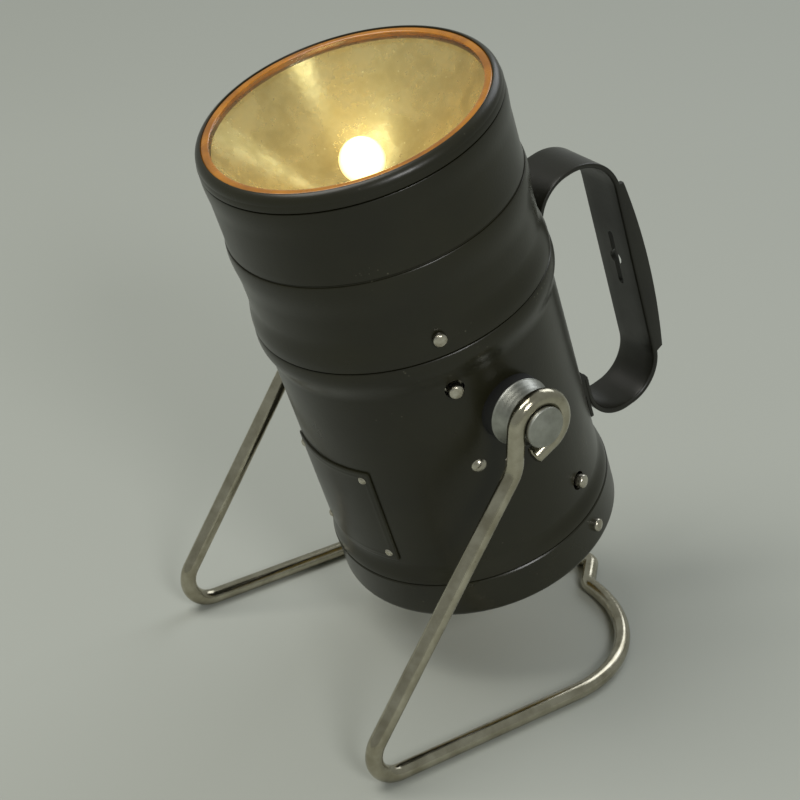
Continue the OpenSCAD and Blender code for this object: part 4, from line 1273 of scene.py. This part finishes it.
    def plate_point(self, u: float, v: float, front: bool) -> Vector:
        """A point of the plate, bent round the case.

        Args:
            u: Position across the plate, before its corners are rounded.
            v: Position up the plate.
            front: Whether the point lies on the front face.

        Returns:
            The point in lamp millimetres.
        """
        half_w, half_h, c = self.plate_w / 2, self.plate_h / 2, self.plate_corner
        over_u, over_v = abs(u) - (half_w - c), abs(v) - (half_h - c)
        if over_u > 0 and over_v > 0:
            # Near a corner, squares of points are drawn in to quarter circles
            shrink = max(over_u, over_v) / math.hypot(over_u, over_v)
            u = math.copysign(half_w - c + over_u * shrink, u)
            v = math.copysign(half_h - c + over_v * shrink, v)
            depth = c - math.hypot(over_u, over_v) * shrink
        else:
            depth = -max(over_u - c, over_v - c)
        rise = 0.02
        if front:
            # The edge falls away by 0.3 mm, and a stamped line runs 2.2 mm inside it
            border = math.exp(-(((depth - 2.2) / 0.45) ** 2))
            rise = self.plate_t - 0.3 * (1 - min(1.0, max(depth, 0.0) / 0.7)) ** 2 + 0.07 * border
        a = math.radians(self.plate_angle) + u / CASE_R
        r = CASE_R + rise
        return Vector((r * math.cos(a), r * math.sin(a), self.plate_z + v))

    def plate(self) -> None:
        """Builds the bare name plate, curved to the case, with a faint stamped border."""
        bm = bmesh.new()
        across, up = self.graded(self.plate_w / 2), self.graded(self.plate_h / 2)
        front = [[bm.verts.new(self.plate_point(u, v, True)) for v in up] for u in across]
        back = [[bm.verts.new(self.plate_point(u, v, False)) for v in up] for u in across]
        m, n = len(across) - 1, len(up) - 1
        for i in range(m):
            for k in range(n):
                bm.faces.new((front[i][k], front[i + 1][k], front[i + 1][k + 1], front[i][k + 1]))
                bm.faces.new((back[i][k + 1], back[i + 1][k + 1], back[i + 1][k], back[i][k]))
        rim = [(i, 0) for i in range(m)] + [(m, k) for k in range(n)]
        rim += [(i, n) for i in range(m, 0, -1)] + [(0, k) for k in range(n, 0, -1)]
        for (i, k), (j, l) in zip(rim, rim[1:] + rim[:1]):
            bm.faces.new((front[j][l], front[i][k], back[i][k], back[j][l]))
        piece = place_mesh("bare_name_plate", bm)
        dress(piece, OLIVE_ENAMEL.make(), Body.CASE, "plate", "name_plate")

    def build(self) -> None:
        """Builds every fitting."""
        self.pivots()
        self.rivets()
        self.studs()
        self.plate()


@dataclass
class StripHandle:
    """The pressed strip handle with its folded flanges, hanging slot and saddle."""

    width: float = 20.3
    thick: float = 2.0
    back_y: float = 51.4
    low_back_y: float = 53.6
    grip_y: float = 86.0
    top: float = 22.0
    bottom: float = -54.0
    bend: float = 16.0
    foot_top: float = 7.0
    foot_low: float = -46.0
    corner: float = 19.0
    flange_mid: float = -20.0
    flange_half: float = 60.0
    flange_top: float = 21.0
    flange: float = 7.0
    fold: float = 1.2
    slot_z: float = -14.0
    slot_r: float = 2.9
    slot_end_r: float = 1.3
    slot_l: float = 24.0
    saddle_ends: Point2 = (0.3, 12.0)

    def flange_height(self, z: float) -> float:
        """Height of the folded flanges above the strip's inner face.

        Args:
            z: Height above the pivot.

        Returns:
            The height, never less than the strip's thickness.
        """
        bow = (self.flange_half**2 + self.flange**2) / (2 * self.flange)
        reach = bow * bow - (z - self.flange_mid) ** 2
        return max(self.thick, self.flange - bow + math.sqrt(max(reach, 0.0)))

    def side_path(self) -> list[Point2]:
        """Walks the strip's outer line, seen from the side, from the upper foot to the lower one.

        Returns:
            Distance behind the axis and height of each point, with no two in one place.
        """
        t = self.thick
        r_in = self.bend - t
        inner = self.corner - t
        up, low = self.back_y + t, self.low_back_y + t
        crown = self.top + self.bend - self.corner
        path: list[Point2] = [(up, self.foot_top), (up, (self.foot_top + self.top) / 2)]
        path += arc(self.back_y + self.bend, self.top, r_in, 180, 90, 24)
        path += arc(self.grip_y + t - self.corner, crown, inner, 90, 8, 24)
        # Stations close together give the flanges their square start and end
        ends = [self.flange_top + 0.02, self.flange_top, self.flange_top - 0.4]
        path += [(self.grip_y - inner + math.sqrt(inner**2 - (z - crown) ** 2), z) for z in ends]
        path += [(self.grip_y, crown + (self.bottom - crown) * i / 64) for i in range(64)]
        path += [(self.grip_y, self.bottom + 0.02)]
        path += arc(self.grip_y + t - self.bend, self.bottom, r_in, 0, -90, 24)
        path += arc(self.low_back_y + self.bend, self.bottom, r_in, -90, -180, 24)
        path += [(low, (self.bottom + self.foot_low) / 2), (low, self.foot_low)]
        clean = [path[0]]
        for p in path[1:]:
            if math.dist(p, clean[-1]) > 0.05:
                clean.append(p)
        return clean

    def stations(self) -> list[tuple[Vector, Vector, float]]:
        """Finds the strip's direction and its flanges' height along its path.

        Returns:
            Point, normal and flange height of each station, in the middle plane.
        """
        path = self.side_path()
        found = []
        for i, (y, z) in enumerate(path):
            before, after = path[max(i - 1, 0)], path[min(i + 1, len(path) - 1)]
            way = Vector((after[0] - before[0], after[1] - before[1])).normalized()
            flanged = y > self.grip_y - 1 and self.bottom < z < self.flange_top + 0.01
            height = self.flange_height(z) if flanged else self.thick
            found.append((Vector((y, z)), Vector((-way.y, way.x)), height))
        return found

    def section(self, height: float) -> list[Point2]:
        """The strip's closed section, with flanges of a given height.

        Args:
            height: Height of the flanges above the inner face.

        Returns:
            Position across the strip and height of each point.
        """
        half, t, edge = self.width / 2, self.thick, 0.4
        rise = height - t
        fillet = 0.9 * min(1.0, rise / self.fold)
        lip = min(edge, rise)
        right = [(0.0, 0.0), (half / 2, 0.0)] + arc(half - self.fold, self.fold, self.fold, -90, 0, 6)
        right += arc(half - edge, height - edge, edge, 0, 90, 3)
        right += arc(half - t + lip, height - lip, lip, 90, 180, 3)
        right += arc(half - t - fillet, t + fillet, fillet, 0, -90, 5) + [(half / 2, t), (0.0, t)]
        return right + [(-x, h) for x, h in reversed(right[1:-1])]

    def slot_cutters(self) -> list[bpy.types.Object]:
        """Makes the cutters of the double-ended hanging slot.

        Returns:
            The round middle, the narrow slot and its two round ends.
        """
        reach = 30
        across = Matrix.Rotation(-math.pi / 2, 4, "X")
        straight = self.slot_l - 2 * self.slot_end_r
        size = (2 * self.slot_end_r, reach, straight)
        cutters = [
            bar("wide", self.slot_r, reach, Matrix.Translation((0, 75, self.slot_z)) @ across),
            block("narrow", size, Matrix.Translation((0, 88, self.slot_z))),
        ]
        for side in (-1, 1):
            end = Matrix.Translation((0, 75, self.slot_z + side * straight / 2))
            cutters.append(bar("end", self.slot_end_r, reach, end @ across))
        return cutters

    def strip(self) -> None:
        """Builds the strip with its flanges, and cuts the slot."""
        bm = bmesh.new()
        rows = []
        for point, normal, height in self.stations():
            places = [(x, point + normal * h) for x, h in self.section(height)]
            rows.append([bm.verts.new((x, p.x, p.y)) for x, p in places])
        for low, high in zip(rows, rows[1:]):
            bridge(bm, low, high)
        bm.faces.new(rows[0])
        bm.faces.new(rows[-1])
        bmesh.ops.remove_doubles(bm, verts=bm.verts, dist=0.002)
        bmesh.ops.dissolve_degenerate(bm, edges=bm.edges, dist=0.001)
        piece = place_mesh("strip_handle", bm, crease=38)
        cut(piece, self.slot_cutters())
        dress(piece, HANDLE_ENAMEL.make(), Body.CASE, "handle_enamel", "handle")

    def saddle(self) -> None:
        """Builds the block that beds the upper foot on the round case."""
        bm = bmesh.new()
        half = self.width / 2 - 0.3
        outline = [(x, math.sqrt(CASE_R**2 - x * x)) for x in (half * (k / 8 - 1) for k in range(17))]
        outline += [(half, self.back_y + 0.02), (-half, self.back_y + 0.02)]
        low, high = [
            [bm.verts.new((x, y, self.foot_top + h)) for x, y in outline] for h in self.saddle_ends
        ]
        bridge(bm, low, high)
        bm.faces.new(low)
        bm.faces.new(high)
        sharp = [e for e in bm.edges if e.calc_face_angle(0) > 1.2]
        bmesh.ops.bevel(bm, geom=sharp, offset=0.35, segments=2, affect="EDGES")
        piece = place_mesh("handle_saddle", bm, crease=38)
        dress(piece, HANDLE_ENAMEL.make(), Body.CASE, "handle_enamel", "handle")

    def build(self) -> None:
        """Builds the handle."""
        self.strip()
        self.saddle()


@dataclass
class PlainNodes:
    """CAD nodes whose shape is right, which get only their finishes."""

    finishes: dict[str, Finish] = field(default_factory=lambda: {
        "pivot_nuts": SPRING_STEEL, "battery_guides": SPRING_STEEL,
        "handle_pad": HANDLE_ENAMEL, "handle_rivets": HANDLE_ENAMEL,
        "battery": BATTERY_CARD, "battery_springs": BRASS, "battery_pad": FELT,
        "head_gasket": BLACK_RUBBER, "retaining_ring": SPRING_STEEL, "bulb_cap": BRASS,
        "bulb_holder": BRASS, "holder_bracket": SPRING_STEEL, "bracket_screws": BRASS,
        "contact_disc": BOARD, "centre_contact": BRASS, "side_contact": BRASS,
        "head_leaf_near": SPRING_STEEL, "head_leaf_far": SPRING_STEEL,
        "cap_leaf_near": SPRING_STEEL, "cap_leaf_far": SPRING_STEEL,
        "switch_plate": HANDLE_ENAMEL, "switch_screws": NICKEL_RIVET,
        "switch_slider": THUMB_PLASTIC, "switch_contact": BRASS,
    })

    def build(self, nodes: dict[str, bpy.types.Object]) -> None:
        """Dresses the nodes.

        Args:
            nodes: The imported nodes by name.
        """
        for name, finish in self.finishes.items():
            mesh = nodes[name].data
            mesh.materials.clear()
            mesh.materials.append(finish.make())
            LOG.info("%s keeps its solid, finish %s", name, finish.name)


@dataclass(frozen=True)
class SoftBox:
    """One square soft light that faces the lamp.

    Attributes:
        name: Name of the light.
        place: Position in metres.
        size: Side of the square in metres.
        power: Power in watts.
        colour: sRGB hex colour.
    """

    name: str
    place: tuple[float, float, float]
    size: float
    power: float
    colour: str

    def hang(self) -> None:
        """Hangs the light, turned to the lamp's middle."""
        data = bpy.data.lights.new(self.name, "AREA")
        data.shape = "SQUARE"
        data.size = self.size
        data.energy = self.power
        data.color = linear(self.colour)[:3]
        light = bpy.data.objects.new(self.name, data)
        light.location = self.place
        aim = Vector((0, 0, PIVOT_Z * MM)) - Vector(self.place)
        light.rotation_euler = aim.to_track_quat("-Z", "Y").to_euler()
        bpy.context.collection.objects.link(light)


@dataclass
class Studio:
    """Camera, floor and soft lights.

    Attributes:
        azimuth: Direction of the camera from the lamp.
        elevation: Height of the camera as an angle.
        eye: Place of the camera in millimetres.
        lens: Focal length in millimetres, for a sensor 36 mm wide.
        floor_half: Half of the floor's side in metres.
        floor_colour: sRGB hex colour of the floor.
        floor_shade: sRGB hex colour that large soft patches of it drift towards.
        patch_mm: Size of those patches in millimetres.
        fade_from: Distance in metres at which the floor starts to fade into the backdrop.
        fade_to: Distance in metres at which only the backdrop's colour is left.
        backdrop_colour: sRGB hex colour of the backdrop.
        sky_colour: sRGB hex colour of the even light from all round.
        sky: Strength of that light.
        boxes: The soft lights.
    """

    azimuth: float = 55.32
    elevation: float = 28.15
    eye: tuple[float, float, float] = (457.2, -338.9518, 401.2)
    lens: float = 81.455
    floor_half: float = 9.0
    floor_colour: str = "A1A49D"
    floor_shade: str = "A5A8A1"
    patch_mm: float = 500.0
    fade_from: float = 0.5
    fade_to: float = 2.2
    backdrop_colour: str = "A3A79E"
    sky_colour: str = "C6CAC4"
    sky: float = 0.55
    boxes: tuple[SoftBox, ...] = (
        SoftBox("key_softbox", (-0.35, -0.75, 1.8), 1.1, 21.0, "FFFDF6"),
        SoftBox("back_softbox", (-0.5, 1.4, 1.3), 1.0, 8.0, "F4F8FF"),
        SoftBox("right_fill", (1.5, -0.36, 1.1), 0.45, 11.0, "FFFFFF"),
    )

    def camera(self) -> None:
        """Places the camera at the photograph's angle and distance."""
        a, e = math.radians(self.azimuth), math.radians(self.elevation)
        data = bpy.data.cameras.new("camera")
        data.sensor_width = 36.0
        data.lens = self.lens
        data.clip_start = 0.01
        camera = bpy.data.objects.new("camera", data)
        back = Vector((math.sin(a) * math.cos(e), -math.cos(a) * math.cos(e), math.sin(e)))
        camera.location = Vector(self.eye) * MM
        camera.rotation_euler = (-back).to_track_quat("-Z", "Y").to_euler()
        bpy.context.collection.objects.link(camera)
        bpy.context.scene.camera = camera

    def matt_board(self) -> bpy.types.Material:
        """Builds the floor's matt board, which fades into the backdrop's even colour far away.

        Returns:
            The finished material.
        """
        material, tree, place = blank_material("matt_board")
        haze = add_node(
            tree, "ShaderNodeTexNoise",
            {"Vector": place, "Scale": 1 / (self.patch_mm * MM), "Detail": 2.0},
        ).outputs["Fac"]
        tint = add_node(
            tree, "ShaderNodeMix",
            {"Factor": haze, 6: linear(self.floor_colour), 7: linear(self.floor_shade)},
            data_type="RGBA",
        ).outputs[2]
        matt = add_node(
            tree, "ShaderNodeBsdfPrincipled", {"Base Color": tint, "Roughness": 0.75}
        ).outputs["BSDF"]
        far = add_node(tree, "ShaderNodeVectorMath", {0: place}, operation="LENGTH").outputs["Value"]
        fade = add_node(
            tree, "ShaderNodeMapRange",
            {"Value": far, "From Min": self.fade_from, "From Max": self.fade_to},
            interpolation_type="SMOOTHSTEP",
        ).outputs["Result"]
        ray = add_node(tree, "ShaderNodeLightPath").outputs
        seen = add_node(
            tree, "ShaderNodeMath", {0: ray["Is Camera Ray"], 1: ray["Is Glossy Ray"]},
            operation="MAXIMUM",
        ).outputs[0]
        amount = add_node(tree, "ShaderNodeMath", {0: fade, 1: seen}, operation="MULTIPLY").outputs[0]
        even = add_node(
            tree, "ShaderNodeEmission", {"Color": linear(self.backdrop_colour), "Strength": 1.0}
        ).outputs["Emission"]
        both = add_node(tree, "ShaderNodeMixShader", {0: amount, 1: matt, 2: even}).outputs["Shader"]
        add_node(tree, "ShaderNodeOutputMaterial", {"Surface": both})
        return material

    def floor(self) -> None:
        """Lays the wide flat floor."""
        bm = bmesh.new()
        bmesh.ops.create_grid(bm, x_segments=2, y_segments=2, size=self.floor_half)
        mesh = bpy.data.meshes.new("studio_floor")
        bm.to_mesh(mesh)
        bm.free()
        floor = bpy.data.objects.new("studio_floor", mesh)
        bpy.context.collection.objects.link(floor)
        mesh.materials.append(self.matt_board())

    def world(self) -> None:
        """Lights the scene evenly, and shows the backdrop's plain colour to the camera."""
        world = bpy.data.worlds.new("studio_world")
        world.use_nodes = True
        tree = world.node_tree
        tree.nodes.clear()
        soft = add_node(
            tree, "ShaderNodeBackground", {"Color": linear(self.sky_colour), "Strength": self.sky}
        ).outputs[0]
        plain = add_node(
            tree, "ShaderNodeBackground", {"Color": linear(self.backdrop_colour), "Strength": 1.0}
        ).outputs[0]
        seen = add_node(tree, "ShaderNodeLightPath").outputs["Is Camera Ray"]
        both = add_node(tree, "ShaderNodeMixShader", {0: seen, 1: soft, 2: plain}).outputs["Shader"]
        add_node(tree, "ShaderNodeOutputWorld", {"Surface": both})
        bpy.context.scene.world = world

    def build(self) -> None:
        """Sets up the studio."""
        self.camera()
        self.floor()
        for box in self.boxes:
            box.hang()
        self.world()
        bpy.context.scene.view_settings.view_transform = "Standard"


def main() -> None:
    """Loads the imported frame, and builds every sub-assembly and the studio."""
    logging.basicConfig(level=logging.INFO, format="%(name)s: %(message)s")
    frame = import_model()
    Studio().build()
    WireStand().build()
    Drum().build()
    Optics().build()
    Fittings().build()
    StripHandle().build()
    PlainNodes().build(frame["nodes"])


if __name__ == "__main__":
    main()
